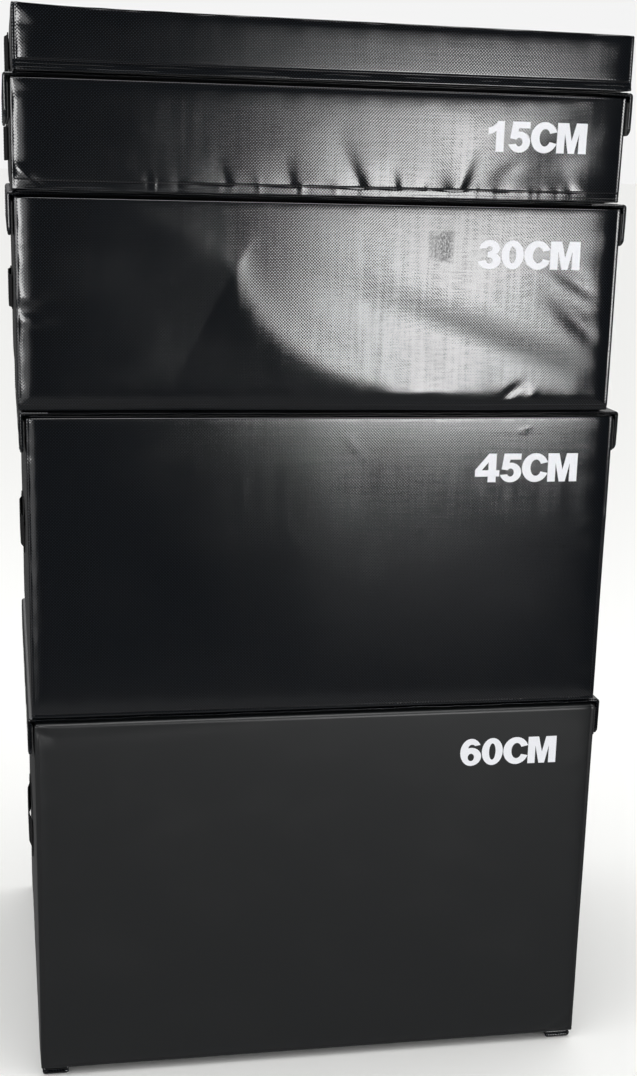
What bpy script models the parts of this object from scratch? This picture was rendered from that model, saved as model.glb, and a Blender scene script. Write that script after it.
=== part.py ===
"""Stack of five soft plyometric jump boxes with hook-and-loop flaps.

Each box is a foam block in a sewn PVC-coated fabric cover, closed by a zip at the back.
A flap is sewn under each long lower edge of a box. Its free leg folds down over the side
of the box below, where it closes on a loop strip. The bottom box has its free legs tucked
under it. A webbing handle is sewn to the left and right side of every box.

Metres, +Z up. The numbered front faces look along -Y. The origin is on the floor, at the
centre of the stack's footprint.
"""

import math

import bmesh
import bpy

# Footprint of every box
WIDTH = 0.880
DEPTH = 0.730

# Boxes from the floor up: name, height as it stands under load, sideways shift in the stack
BOXES = [
    ("60", 0.577, 0.0086),
    ("45", 0.452, 0.0054),
    ("30", 0.298, -0.0048),
    ("15", 0.150, -0.0069),
    ("7_5", 0.079, -0.0030),
]

# Gap left between two pieces that touch
FIT_GAP = 0.0003

# Cover and foam
COVER_WALL = 0.0010
EDGE_RADIUS = 0.0080
EDGE_SEGMENTS = 3

# Flap: sewn base under the box, and free leg over the side of the box below
FLAP_THICKNESS = 0.0057
FLAP_BASE_WIDTH = 0.045
FLAP_DROP = 0.060
FLAP_END_INSET = 0.010
FLAP_EDGE_RADIUS = 0.0024
FLAP_BASE_RADIUS = 0.0012

# Loop strip on the side of a box that carries another
LOOP_THICKNESS = 0.0015
LOOP_HEIGHT = 0.046
LOOP_BELOW_TOP = 0.008
LOOP_RADIUS = 0.0004

# Webbing handle
HANDLE_LENGTH = 0.260
HANDLE_SEWN_END = 0.035
HANDLE_WIDTH = 0.050
HANDLE_THICKNESS = 0.0025
HANDLE_GRIP_GAP = 0.0065
HANDLE_RISE = 0.040
HANDLE_STATIONS = 26
HANDLE_BELOW_FLAP = 0.006

# Zip in the back of the cover
ZIP_LENGTH = 0.780
ZIP_TAPE_WIDTH = 0.026
ZIP_ABOVE_BASE = 0.038
CHAIN_WIDTH = 0.0060
CHAIN_HEIGHT = 0.0024
SLIDER_LENGTH = 0.016
SLIDER_WIDTH = 0.0115
SLIDER_WALL = 0.0022
SLIDER_END_INSET = 0.010
PULL_LENGTH = 0.030
PULL_WIDTH = 0.0090
PULL_THICKNESS = 0.0018

# Colours as linear RGB, roughness and metallic for each kind of piece
FINISHES = {
    "cover": ((0.010, 0.011, 0.013), 0.38, 0.0),
    "foam_core": ((0.55, 0.56, 0.58), 0.90, 0.0),
    "flap_base": ((0.009, 0.009, 0.010), 0.50, 0.0),
    "flap": ((0.009, 0.009, 0.010), 0.50, 0.0),
    "loop_strip": ((0.006, 0.006, 0.006), 0.95, 0.0),
    "handle": ((0.008, 0.008, 0.008), 0.80, 0.0),
    "zip_tape": ((0.008, 0.008, 0.009), 0.75, 0.0),
    "zip_slider": ((0.020, 0.020, 0.022), 0.35, 1.0),
}

# Sizes that follow from those above
HINGE_OUT = FIT_GAP + LOOP_THICKNESS + FIT_GAP + FLAP_THICKNESS / 2
LEG_OUT = HINGE_OUT + FLAP_THICKNESS / 2
HANDLE_OUT = HANDLE_GRIP_GAP + HANDLE_THICKNESS
SLIDER_OUT = FIT_GAP + CHAIN_HEIGHT + FIT_GAP + SLIDER_WALL
ZIP_OUT = SLIDER_OUT + PULL_THICKNESS


def clear_scene():
    """Remove whatever the file holds, so that the script starts from nothing."""
    for obj in list(bpy.data.objects):
        bpy.data.objects.remove(obj, do_unlink=True)
    for collection in list(bpy.data.collections):
        bpy.data.collections.remove(collection)


def new_collection(name):
    collection = bpy.data.collections.new(name)
    bpy.context.scene.collection.children.link(collection)
    return collection


def new_object(name, mesh, parent, location, collection):
    obj = bpy.data.objects.new(name, mesh)
    collection.objects.link(obj)
    obj.parent = parent
    obj.location = location
    return obj


def give_material(obj, kind):
    """A Principled material of the piece's own, from the table of finishes."""
    colour, roughness, metallic = FINISHES[kind]
    material = bpy.data.materials.new(obj.name + "_material")
    material.use_nodes = True
    shader = material.node_tree.nodes["Principled BSDF"]
    shader.inputs["Base Color"].default_value = (*colour, 1.0)
    shader.inputs["Roughness"].default_value = roughness
    shader.inputs["Metallic"].default_value = metallic
    obj.data.materials.append(material)


def box_mesh(name, size, centre=(0.0, 0.0, 0.0), radius=0.0, segments=1):
    """A cuboid of the given size about a centre, with all its edges rounded to a radius."""
    mesh = bpy.data.meshes.new(name)
    bm = bmesh.new()
    bmesh.ops.create_cube(bm, size=1.0)
    bmesh.ops.scale(bm, vec=size, verts=bm.verts)
    if radius > 0.0:
        bmesh.ops.bevel(
            bm, geom=bm.edges[:], offset=radius, segments=segments, profile=0.5, affect="EDGES"
        )
    bmesh.ops.translate(bm, vec=centre, verts=bm.verts)
    bm.to_mesh(mesh)
    bm.free()
    return mesh


def cut(obj, cutter, operation="DIFFERENCE"):
    """Add a Boolean and hide the tool that it uses."""
    boolean = obj.modifiers.new("cut_" + cutter.name, "BOOLEAN")
    boolean.operation = operation
    boolean.solver = "EXACT"
    boolean.object = cutter
    cutter.hide_render = True
    cutter.display_type = "WIRE"


def make_foam_core(box):
    """The foam block fills the cover and keeps a hair's gap to it."""
    inset = COVER_WALL + FIT_GAP
    size = (WIDTH - 2 * inset, DEPTH - 2 * inset, box["height"] - 2 * inset)
    mesh = box_mesh(
        "foam", size, (0.0, 0.0, box["height"] / 2), EDGE_RADIUS - inset, EDGE_SEGMENTS
    )
    core = new_object("foam_core_" + box["name"], mesh, box["frame"], (0, 0, 0), PARTS)
    give_material(core, "foam_core")


def zip_height(box):
    """Height of the zip's middle above the underside: low on a tall box, central on a thin one."""
    return min(ZIP_ABOVE_BASE, box["height"] / 2)


def make_cover(box):
    """A closed skin with its wall turned inwards, open only at the zip's slot in the back."""
    mesh = box_mesh(
        "cover", (WIDTH, DEPTH, box["height"]), (0.0, 0.0, box["height"] / 2), EDGE_RADIUS, EDGE_SEGMENTS
    )
    cover = new_object("cover_" + box["name"], mesh, box["frame"], (0, 0, 0), PARTS)
    wall = cover.modifiers.new("wall", "SOLIDIFY")
    wall.thickness = COVER_WALL
    wall.offset = -1.0
    slot_size = (ZIP_LENGTH, 6 * COVER_WALL, ZIP_TAPE_WIDTH)
    slot_mesh = box_mesh("slot", slot_size, (0.0, DEPTH / 2, zip_height(box)))
    slot = new_object("slot_" + box["name"], slot_mesh, box["frame"], (0, 0, 0), CUTTERS)
    cut(cover, slot)
    give_material(cover, "cover")


def outline_object(name, points, thickness, parent, collection):
    """A flat outline in its own XY plane, made solid by an extrude of half its thickness."""
    curve = bpy.data.curves.new(name, "CURVE")
    curve.dimensions = "2D"
    curve.fill_mode = "BOTH"
    curve.extrude = thickness / 2
    spline = curve.splines.new("POLY")
    spline.points.add(len(points) - 1)
    for point, (x, y) in zip(spline.points, points):
        point.co = (x, y, 0.0, 1.0)
    spline.use_cyclic_u = True
    obj = bpy.data.objects.new(name, curve)
    collection.objects.link(obj)
    bpy.context.view_layer.update()
    evaluated = obj.evaluated_get(bpy.context.evaluated_depsgraph_get())
    mesh = bpy.data.meshes.new_from_object(evaluated)
    bpy.data.objects.remove(obj, do_unlink=True)
    bm = bmesh.new()
    bm.from_mesh(mesh)
    bmesh.ops.remove_doubles(bm, verts=bm.verts, dist=0.00001)
    bm.to_mesh(mesh)
    bm.free()
    solid = bpy.data.objects.new(name, mesh)
    collection.objects.link(solid)
    solid.parent = parent
    return solid


def make_zip(box):
    """Tape and chain fill the slot as one closed zip, and the slider straddles the chain."""
    level = zip_height(box)
    tape_half = ZIP_TAPE_WIDTH / 2 - FIT_GAP
    chain_half = CHAIN_WIDTH / 2
    section = [
        (-COVER_WALL, -tape_half),
        (0.0, -tape_half),
        (0.0, -chain_half),
        (CHAIN_HEIGHT, -chain_half),
        (CHAIN_HEIGHT, chain_half),
        (0.0, chain_half),
        (0.0, tape_half),
        (-COVER_WALL, tape_half),
    ]
    length = ZIP_LENGTH - 2 * FIT_GAP
    tape = outline_object("zip_tape_" + box["name"], section, length, box["frame"], PARTS)
    tape.rotation_euler = (math.pi / 2, 0.0, math.pi / 2)
    tape.location = (0.0, DEPTH / 2, level)
    give_material(tape, "zip_tape")

    groove_half = chain_half + FIT_GAP
    channel = [
        (FIT_GAP, -SLIDER_WIDTH / 2),
        (SLIDER_OUT, -SLIDER_WIDTH / 2),
        (SLIDER_OUT, SLIDER_WIDTH / 2),
        (FIT_GAP, SLIDER_WIDTH / 2),
        (FIT_GAP, groove_half),
        (SLIDER_OUT - SLIDER_WALL, groove_half),
        (SLIDER_OUT - SLIDER_WALL, -groove_half),
        (FIT_GAP, -groove_half),
    ]
    slider = outline_object("zip_slider_" + box["name"], channel, SLIDER_LENGTH, box["frame"], PARTS)
    slider.rotation_euler = (math.pi / 2, 0.0, math.pi / 2)
    end = ZIP_LENGTH / 2 - SLIDER_END_INSET - SLIDER_LENGTH / 2
    slider.location = (end, DEPTH / 2, level)
    overlap = SLIDER_WALL / 4
    pull_size = (PULL_WIDTH, PULL_THICKNESS + overlap, PULL_LENGTH)
    pull_centre = (0.0, SLIDER_OUT + (PULL_THICKNESS - overlap) / 2, -PULL_LENGTH / 2 + SLIDER_WIDTH / 3)
    pull_mesh = box_mesh("pull", pull_size, pull_centre)
    pull = new_object("pull_" + box["name"], pull_mesh, box["frame"], slider.location, CUTTERS)
    cut(slider, pull, "UNION")
    give_material(slider, "zip_slider")


def handle_height(box):
    """Middle of the handle above the underside: half way up, or clear below the flap from above."""
    middle = box["height"] / 2
    if not box["above"]:
        return middle
    flap_tip = box["height"] + 2 * FIT_GAP + FLAP_THICKNESS - FIT_GAP - FLAP_DROP
    return min(middle, flap_tip - HANDLE_BELOW_FLAP - HANDLE_WIDTH / 2)


def handle_offset(distance):
    """Distance from the side to the webbing, rising from the sewn end to the grip in half a cosine."""
    end = HANDLE_LENGTH / 2 - HANDLE_SEWN_END
    share = min(max((end - abs(distance)) / HANDLE_RISE, 0.0), 1.0)
    ease = 0.5 - 0.5 * math.cos(math.pi * share)
    return FIT_GAP + (HANDLE_GRIP_GAP - FIT_GAP) * ease


def make_handle(box, side, sign):
    """A strip of webbing, as a grid along Y bowed away from the side, then given its thickness."""
    mesh = bpy.data.meshes.new("handle")
    bm = bmesh.new()
    bmesh.ops.create_grid(bm, x_segments=HANDLE_STATIONS, y_segments=1, size=0.5)
    for vert in bm.verts:
        along = vert.co.x * HANDLE_LENGTH
        up = vert.co.y * HANDLE_WIDTH
        vert.co = (sign * handle_offset(along), along, up)
    bm.to_mesh(mesh)
    bm.free()
    if sign < 0:
        mesh.flip_normals()
    place = (sign * WIDTH / 2, 0.0, handle_height(box))
    handle = new_object("handle_" + side + "_" + box["name"], mesh, box["frame"], place, PARTS)
    webbing = handle.modifiers.new("webbing", "SOLIDIFY")
    webbing.thickness = HANDLE_THICKNESS
    webbing.offset = 1.0
    give_material(handle, "handle")


def make_loop_strip(box, side, sign):
    size = (LOOP_THICKNESS, DEPTH - 2 * FLAP_END_INSET, LOOP_HEIGHT)
    mesh = box_mesh("loop", size, radius=LOOP_RADIUS)
    across = WIDTH / 2 + FIT_GAP + LOOP_THICKNESS / 2
    up = box["height"] - LOOP_BELOW_TOP - LOOP_HEIGHT / 2
    place = (sign * across, 0.0, up)
    strip = new_object("loop_strip_" + side + "_" + box["name"], mesh, box["frame"], place, PARTS)
    give_material(strip, "loop_strip")


def make_flap(box, side, sign):
    """Base under the box and free leg. The leg's origin is on its hinge line, where the flap folds."""
    length = DEPTH - 2 * FLAP_END_INSET
    level = -FIT_GAP - FLAP_THICKNESS / 2
    inner = WIDTH / 2 - FLAP_BASE_WIDTH
    if box["below"]:
        hinge = WIDTH / 2 + HINGE_OUT + sign * (box["below"]["shift"] - box["shift"])
        outer = hinge - FLAP_THICKNESS / 2 - FIT_GAP
        leg_size = (FLAP_THICKNESS, length, FLAP_DROP)
        leg_centre = (0.0, 0.0, FLAP_THICKNESS / 2 - FLAP_DROP / 2)
        leg_place = (sign * hinge, 0.0, level)
    else:
        outer = WIDTH / 2 - EDGE_RADIUS / 2
        leg_size = (outer - inner, length, FLAP_THICKNESS)
        leg_centre = (0.0, 0.0, 0.0)
        leg_place = (sign * (inner + outer) / 2, 0.0, level - FLAP_THICKNESS - FIT_GAP)

    base_mesh = box_mesh("flap_base", (outer - inner, length, FLAP_THICKNESS), radius=FLAP_BASE_RADIUS)
    base_place = (sign * (inner + outer) / 2, 0.0, level)
    base_name = "flap_base_" + side + "_" + box["name"]
    base = new_object(base_name, base_mesh, box["frame"], base_place, PARTS)
    give_material(base, "flap_base")

    leg_mesh = box_mesh("flap", leg_size, leg_centre, FLAP_EDGE_RADIUS, 3)
    leg = new_object("flap_" + side + "_" + box["name"], leg_mesh, box["frame"], leg_place, PARTS)
    give_material(leg, "flap")


def plan_stack():
    """Work out where each box stands, and move the stack so that its box of extents is centred."""
    plan = []
    level = 2 * (FLAP_THICKNESS + FIT_GAP)
    for name, height, shift in BOXES:
        plan.append({"name": name, "height": height, "shift": shift, "level": level})
        level += height + FLAP_THICKNESS + 2 * FIT_GAP
    for lower, upper in zip(plan, plan[1:]):
        lower["above"] = upper
        upper["below"] = lower
    plan[0]["below"] = None
    plan[-1]["above"] = None
    proud = [max(HANDLE_OUT, LEG_OUT) if box["above"] else HANDLE_OUT for box in plan]
    left = min(box["shift"] - WIDTH / 2 - out for box, out in zip(plan, proud))
    right = max(box["shift"] + WIDTH / 2 + out for box, out in zip(plan, proud))
    centre_x = (left + right) / 2
    centre_y = ZIP_OUT / 2
    for box in plan:
        frame = bpy.data.objects.new("box_" + box["name"] + "_frame", None)
        frame.location = (box["shift"] - centre_x, -centre_y, box["level"])
        PARTS.objects.link(frame)
        box["frame"] = frame
    return plan


clear_scene()
PARTS = new_collection("plyo_box")
CUTTERS = new_collection("cutters")

for box in plan_stack():
    make_foam_core(box)
    make_cover(box)
    make_zip(box)
    for side, sign in (("left", -1), ("right", 1)):
        make_flap(box, side, sign)
        make_handle(box, side, sign)
        if box["above"]:
            make_loop_strip(box, side, sign)
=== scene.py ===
# %% [markdown]
# # A stack of five soft plyo boxes
# A soft plyo box is a block of foam in a sewn cover of PVC-coated fabric. Athletes jump on
# it, and boxes of 7.5, 15, 30, 45 and 60 cm stack into other heights. This notebook dresses
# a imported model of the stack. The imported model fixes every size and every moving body, and
# here each soft or sewn piece gets its real surface. Everything is in metres.

import math

import bmesh
import bpy
import numpy as np
from mathutils import Matrix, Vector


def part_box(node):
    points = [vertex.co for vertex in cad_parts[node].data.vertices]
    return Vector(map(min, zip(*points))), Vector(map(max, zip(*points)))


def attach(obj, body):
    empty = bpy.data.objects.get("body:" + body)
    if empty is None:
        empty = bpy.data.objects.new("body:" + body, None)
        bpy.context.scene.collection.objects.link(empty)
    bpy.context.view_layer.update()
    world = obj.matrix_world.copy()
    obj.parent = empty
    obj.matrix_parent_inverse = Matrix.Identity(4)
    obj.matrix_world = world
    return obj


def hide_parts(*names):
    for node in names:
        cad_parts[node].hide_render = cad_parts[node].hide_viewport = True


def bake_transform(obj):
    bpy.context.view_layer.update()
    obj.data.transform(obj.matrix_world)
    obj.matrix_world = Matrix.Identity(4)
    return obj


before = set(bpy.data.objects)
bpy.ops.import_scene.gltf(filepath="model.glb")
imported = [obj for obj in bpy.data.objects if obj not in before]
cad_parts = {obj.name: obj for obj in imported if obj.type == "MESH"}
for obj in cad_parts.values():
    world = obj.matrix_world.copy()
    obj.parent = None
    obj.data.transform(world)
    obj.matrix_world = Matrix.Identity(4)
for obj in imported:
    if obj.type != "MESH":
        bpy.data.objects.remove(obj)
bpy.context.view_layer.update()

# %% [markdown]
# ## Where each box stands
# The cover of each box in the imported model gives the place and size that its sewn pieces
# are built on. Reading them from the model, and not typing them in again, keeps the pieces
# right if a size changes.

# %% Places of the boxes
BOX_NAMES = ("60", "45", "30", "15", "7_5")


def place_of(name):
    """The size and place of one box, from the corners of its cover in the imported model."""
    low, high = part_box("cover_" + name)
    return {
        "name": name,
        "body": "box_" + name,
        "x": (low.x + high.x) / 2,
        "y": (low.y + high.y) / 2,
        "base": low.z,
        "width": high.x - low.x,
        "depth": high.y - low.y,
        "height": high.z - low.z,
    }


boxes = {name: place_of(name) for name in BOX_NAMES}
for name, box in boxes.items():
    print("box", name, "base", round(box["base"], 4), "height", round(box["height"], 4))

# %% [markdown]
# ## Camera
# The camera stands left of the middle, a little below the top of the stack, and looks down
# and to the right. Its place and turn were fitted to the corners of the boxes in the
# photograph. A lens is given as a focal length in pixels of the 637 x 1076 frame, so it
# keeps the photograph's perspective at any render size.

# %% Camera
PHOTO_HEIGHT = 1076
FOCAL_PIXELS = 1652.2
CENTRE_ROW_PIXELS = 607.08
CAMERA_PLACE = (-0.46085, -2.7280, 1.4031)
CAMERA_YAW = 0.190771
CAMERA_PITCH = 0.261736
CAMERA_ROLL = 0.0259613
SENSOR_MM = 36.0


def make_camera():
    """Turn by yaw about +Z, tilt down by pitch, then roll about the line of sight."""
    yaw, pitch, roll = CAMERA_YAW, CAMERA_PITCH, CAMERA_ROLL
    sight = np.array(
        [math.sin(yaw) * math.cos(pitch), math.cos(yaw) * math.cos(pitch), -math.sin(pitch)]
    )
    level = np.array([math.cos(yaw), -math.sin(yaw), 0.0])
    upright = np.cross(level, sight)
    right = math.cos(roll) * level + math.sin(roll) * upright
    top = -math.sin(roll) * level + math.cos(roll) * upright
    data = bpy.data.cameras.new("camera")
    data.sensor_width = SENSOR_MM
    data.lens = FOCAL_PIXELS / PHOTO_HEIGHT * SENSOR_MM
    data.shift_y = (CENTRE_ROW_PIXELS - PHOTO_HEIGHT / 2) / PHOTO_HEIGHT
    camera = bpy.data.objects.new("camera", data)
    bpy.context.scene.collection.objects.link(camera)
    turn = Matrix([right, top, -sight]).transposed().to_4x4()
    camera.matrix_world = Matrix.Translation(CAMERA_PLACE) @ turn
    bpy.context.scene.camera = camera
    return camera


camera = make_camera()
bpy.context.scene.view_settings.view_transform = "Standard"
print("lens", round(camera.data.lens, 2), "mm, shift", round(camera.data.shift_y, 4))

# %% [markdown]
# ## Colours and nodes
# Colours are written as the hex values that a paint program shows, and Blender's shaders
# want linear light, so one function turns one into the other. The other small functions add
# a shader node with its settings and links in one line, and name the few steps that every
# material here is made of: a sum, a range, a tint between two colours and a bump.

# %% Helpers for colours and nodes


def linear(hex_colour):
    """sRGB hex to linear RGBA: below 0.04045 a straight line, above it a power of 2.4."""
    values = [int(hex_colour[i : i + 2], 16) / 255 for i in (1, 3, 5)]
    straight = [v / 12.92 if v <= 0.04045 else ((v + 0.055) / 1.055) ** 2.4 for v in values]
    return (*straight, 1.0)


def set_inputs(tree, node, **inputs):
    """Give inputs of a node a number, a colour or a link from another socket.

    The name of an input is written with underscores for its spaces, or as i and its place.
    """
    for key, value in inputs.items():
        socket = node.inputs[int(key[1:]) if key[1:].isdigit() else key.replace("_", " ")]
        if isinstance(value, bpy.types.NodeSocket):
            tree.links.new(value, socket)
        else:
            socket.default_value = value


def add_node(tree, kind, settings=None, **inputs):
    """A node of a kind with its settings and its inputs."""
    node = tree.nodes.new("ShaderNode" + kind)
    for key, value in (settings or {}).items():
        setattr(node, key, value)
    set_inputs(tree, node, **inputs)
    return node


def calculate(tree, operation, *values):
    """The result of one math node, whose inputs in order are numbers or other sockets."""
    inputs = {"i" + str(place): value for place, value in enumerate(values)}
    return add_node(tree, "Math", {"operation": operation}, **inputs).outputs[0]


def ranged(tree, value, low, high, to_low, to_high, shape="LINEAR"):
    """A value between low and high, stretched onto to_low to to_high and held there."""
    return add_node(
        tree, "MapRange", {"interpolation_type": shape},
        i0=value, i1=low, i2=high, i3=to_low, i4=to_high,
    ).outputs[0]


def mixed(tree, share, first, second):
    """The first value where the share is 0 and the second where it is 1."""
    return add_node(tree, "Mix", {"data_type": "FLOAT"}, i0=share, i2=first, i3=second).outputs[0]


def tinted(tree, share, first, second):
    """The first colour where the share is 0 and the second where it is 1."""
    mix = add_node(
        tree, "Mix", {"data_type": "RGBA"}, i0=share, i6=linear(first), i7=linear(second)
    )
    return mix.outputs[2]


def bumped(tree, height, distance, **inputs):
    """A normal that leans as if the surface rose by the distance where the height is 1."""
    return add_node(tree, "Bump", None, Height=height, Distance=distance, **inputs).outputs[0]


def own_place(tree):
    """The place of a point in the piece's own coordinates."""
    return add_node(tree, "TexCoord").outputs["Object"]


def noise(tree, place, scale, detail):
    """Soft noise with a number of grains per metre and of finer layers."""
    return add_node(
        tree, "TexNoise", None, Vector=place, Scale=scale, Detail=detail
    ).outputs["Fac"]


def new_material(name):
    """An empty material with its Principled shader, and the shader's tree."""
    material = bpy.data.materials.new(name)
    material.use_nodes = True
    return material, material.node_tree, material.node_tree.nodes["Principled BSDF"]


# %% [markdown]
# ## Floor
# The stack stands on a plain pale floor, as in a studio where one sheet of paper runs from
# under the thing to the back wall. A single wide plate is enough, because the world takes
# over at the horizon in nearly the same shade. The floor is left out of reflections. There
# the world below stands in for it, so that its brightness can be set by the angle.

# %% Floor


def make_floor(size=400.0):
    """One square plate under the stack, in a pale matt paint, so wide that its far edge meets
    the world at the horizon."""
    corners = np.array([[-1, -1, 0], [1, -1, 0], [1, 1, 0], [-1, 1, 0]], float) * size / 2
    mesh = bpy.data.meshes.new("floor")
    mesh.from_pydata(corners.tolist(), [], [(0, 1, 2, 3)])
    floor = bpy.data.objects.new("floor", mesh)
    bpy.context.scene.collection.objects.link(floor)
    material, tree, shader = new_material("floor_matt_paint")
    set_inputs(tree, shader, Base_Color=linear("#F4F4F2"), Roughness=0.9)
    mesh.materials.append(material)
    floor.visible_glossy = False
    return floor


floor = make_floor()
print("floor", [round(v, 2) for v in floor.dimensions])

# %% [markdown]
# ## Softboxes
# Black vinyl shows little of its own colour, and nearly all that the eye sees on it is the
# room mirrored softly. So the light is planned from the mirror image. A softbox to the right
# of the camera, in a lower and an upper part, gives the broad sheen, with a narrow dim rim
# beside it. One at the left, in a far and a near part, lights the left edges. A strip
# overhead draws the thin lights along the top edges, and weak bounces fill in. All of these
# show in reflections alone. Only the wide panel overhead lights matt surfaces as well.

# %% Softboxes
SOFTBOX_LEAN = 10.0
FRONT_BOX_Y = -3.40


def make_softbox(name, place, aim, size, watts, diffuse=False, lean=0.0):
    """A rectangular area light at a place, turned to face the point that it aims at, and then
    turned about that line by lean degrees."""
    data = bpy.data.lights.new(name, "AREA")
    data.shape = "RECTANGLE"
    data.size, data.size_y = size
    data.energy = watts
    light = bpy.data.objects.new(name, data)
    bpy.context.scene.collection.objects.link(light)
    away = Matrix.Translation(place).translation - Matrix.Translation(aim).translation
    facing = away.to_track_quat("Z", "Y").to_matrix().to_4x4()
    leaning = facing @ Matrix.Rotation(math.radians(lean), 4, "Z")
    light.matrix_world = Matrix.Translation(place) @ leaning
    light.visible_diffuse = diffuse
    return light


def make_front_box(name, x, z, size, watts, lean=0.0):
    """A softbox beside the camera that faces straight back at the fronts."""
    return make_softbox(name, (x, FRONT_BOX_Y, z), (x, -0.36, z), size, watts, False, lean)


lights = [
    make_front_box("softbox_right", 1.0478, 0.9874, (0.92, 0.63), 32.6, SOFTBOX_LEAN),
    make_front_box("softbox_upper", 0.9653, 1.4552, (0.92, 0.32), 11.9, SOFTBOX_LEAN),
    make_front_box("softbox_rim", 0.50, 1.34, (0.24, 0.50), 0.8),
    make_front_box("bounce_high", 0.95, 1.92, (0.90, 0.66), 2.8),
    make_front_box("bounce_low", 0.95, 0.22, (0.8, 0.7), 0.8),
    make_softbox("softbox_left", (-1.8956, -2.0678, 1.38), (-0.7256, -0.1978, 1.38), (0.65, 0.95), 27),
    make_softbox("softbox_near", (-1.3444, -2.4122, 1.38), (-0.1744, -0.5422, 1.38), (0.65, 0.95), 4),
    make_softbox("bounce_left", (-1.62, -2.24, 0.48), (-0.45, -0.37, 0.48), (1.3, 0.80), 4),
    make_softbox("strip_overhead", (0.0, -1.0, 3.2), (0.0, -0.3, 0.6), (2.6, 1.2), 45),
    make_softbox("panel_overhead", (0.0, -0.2, 3.6), (0.0, 0.0, 0.0), (2.6, 2.6), 50, True),
]
print("lights", [light.name for light in lights])

# %% [markdown]
# ## World
# On a white ground no room shows round the stack, yet the vinyl mirrors one. So the world
# answers each kind of ray in its own way: near white for the camera, an even grey for matt
# surfaces, and a made-up room for reflections. That room is dim in front. Behind the stack
# it is bright only above the level, so that walls which are seen at a grazing angle stay
# dark, and steeply below it grows lighter, as a lit floor would.

# %% World
GROUND_WHITE = 0.904


def make_world():
    """Near white for the camera, an even grey for matt surfaces, and for reflections a room
    that is bright behind and above, and that grows lighter as the ray turns steeply down."""
    world = bpy.data.worlds.new("studio")
    bpy.context.scene.world = world
    world.use_nodes = True
    tree = world.node_tree
    ray = add_node(tree, "LightPath")
    direction = add_node(tree, "TexCoord").outputs["Generated"]
    toward = add_node(tree, "SeparateXYZ", None, Vector=direction)
    above = ranged(tree, toward.outputs["Z"], 0.02, 0.25, 0.08, 0.75, "SMOOTHSTEP")
    behind = ranged(tree, toward.outputs["Y"], -0.1, 0.85, 0.03, above, "SMOOTHSTEP")
    below = ranged(tree, toward.outputs["Z"], -0.28, -0.48, 0.0, 0.26, "SMOOTHSTEP")
    mirrored = calculate(tree, "ADD", behind, below)
    matt = mixed(tree, ray.outputs["Is Glossy Ray"], 1.0, mirrored)
    seen = mixed(tree, ray.outputs["Is Camera Ray"], matt, GROUND_WHITE)
    set_inputs(tree, tree.nodes["Background"], Strength=seen, Color=(1.0, 1.0, 1.0, 1.0))
    return world


world = make_world()
print("world", world.name)

# %% [markdown]
# ## Meshes from arrays
# A sewn surface is a function of two parameters. It is easiest to work out as a whole grid
# of points with numpy and to hand to Blender in one go. Two helpers do most of this: one
# numbers the corners of the quads of a grid, and the other makes the object, turns its
# faces outwards and puts it on its body. The rest are small sums that many pieces share.

# %% Helpers for meshes


def grid_quads(rows, columns, close_rows=False, close_columns=False):
    """Corner numbers of the quads between neighbours of a grid that is stored row by row."""
    r = np.arange(rows if close_rows else rows - 1)
    c = np.arange(columns if close_columns else columns - 1)
    r0, c0 = np.meshgrid(r, c, indexing="ij")
    r1, c1 = (r0 + 1) % rows, (c0 + 1) % columns
    corners = [r0 * columns + c0, r0 * columns + c1, r1 * columns + c1, r1 * columns + c0]
    return np.stack(corners, axis=-1).reshape(-1, 4)


def capped_quads(rows, columns):
    """The quads of a flat tube that is stored as rings, and of its two ends. Each end joins
    the points of one side of the ring to the points across from them."""
    i = np.arange(columns // 2 - 1)
    first = np.stack([columns - 1 - i, columns - 2 - i, i + 1, i], 1)
    last = first[:, ::-1] + (rows - 1) * columns
    return np.concatenate([grid_quads(rows, columns, close_columns=True), first, last])


def signed_power(values, exponent):
    """The power of the size of each value, with the value's sign. On a sine and a cosine it
    turns a circle into a rounded rectangle."""
    return np.sign(values) * np.abs(values) ** exponent


def rounded_rim(share):
    """A quarter of a circle: 0 at the rim, and 1 where the share of the way in is 1."""
    return np.sqrt(1 - (1 - share) ** 2)


def sampled(at, lengths, points):
    """Points at new lengths along a line whose points stand at the given lengths."""
    return np.stack([np.interp(at, lengths, column) for column in points.T], -1)


def volume_of(points, faces):
    """Signed volume: a sixth of the sum of a . (b x c) over the fan of triangles of each face."""
    total = 0.0
    for k in range(1, faces.shape[1] - 1):
        a, b, c = points[faces[:, 0]], points[faces[:, k]], points[faces[:, k + 1]]
        total += float(np.einsum("ij,ij->", a, np.cross(b, c))) / 6
    return total


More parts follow.
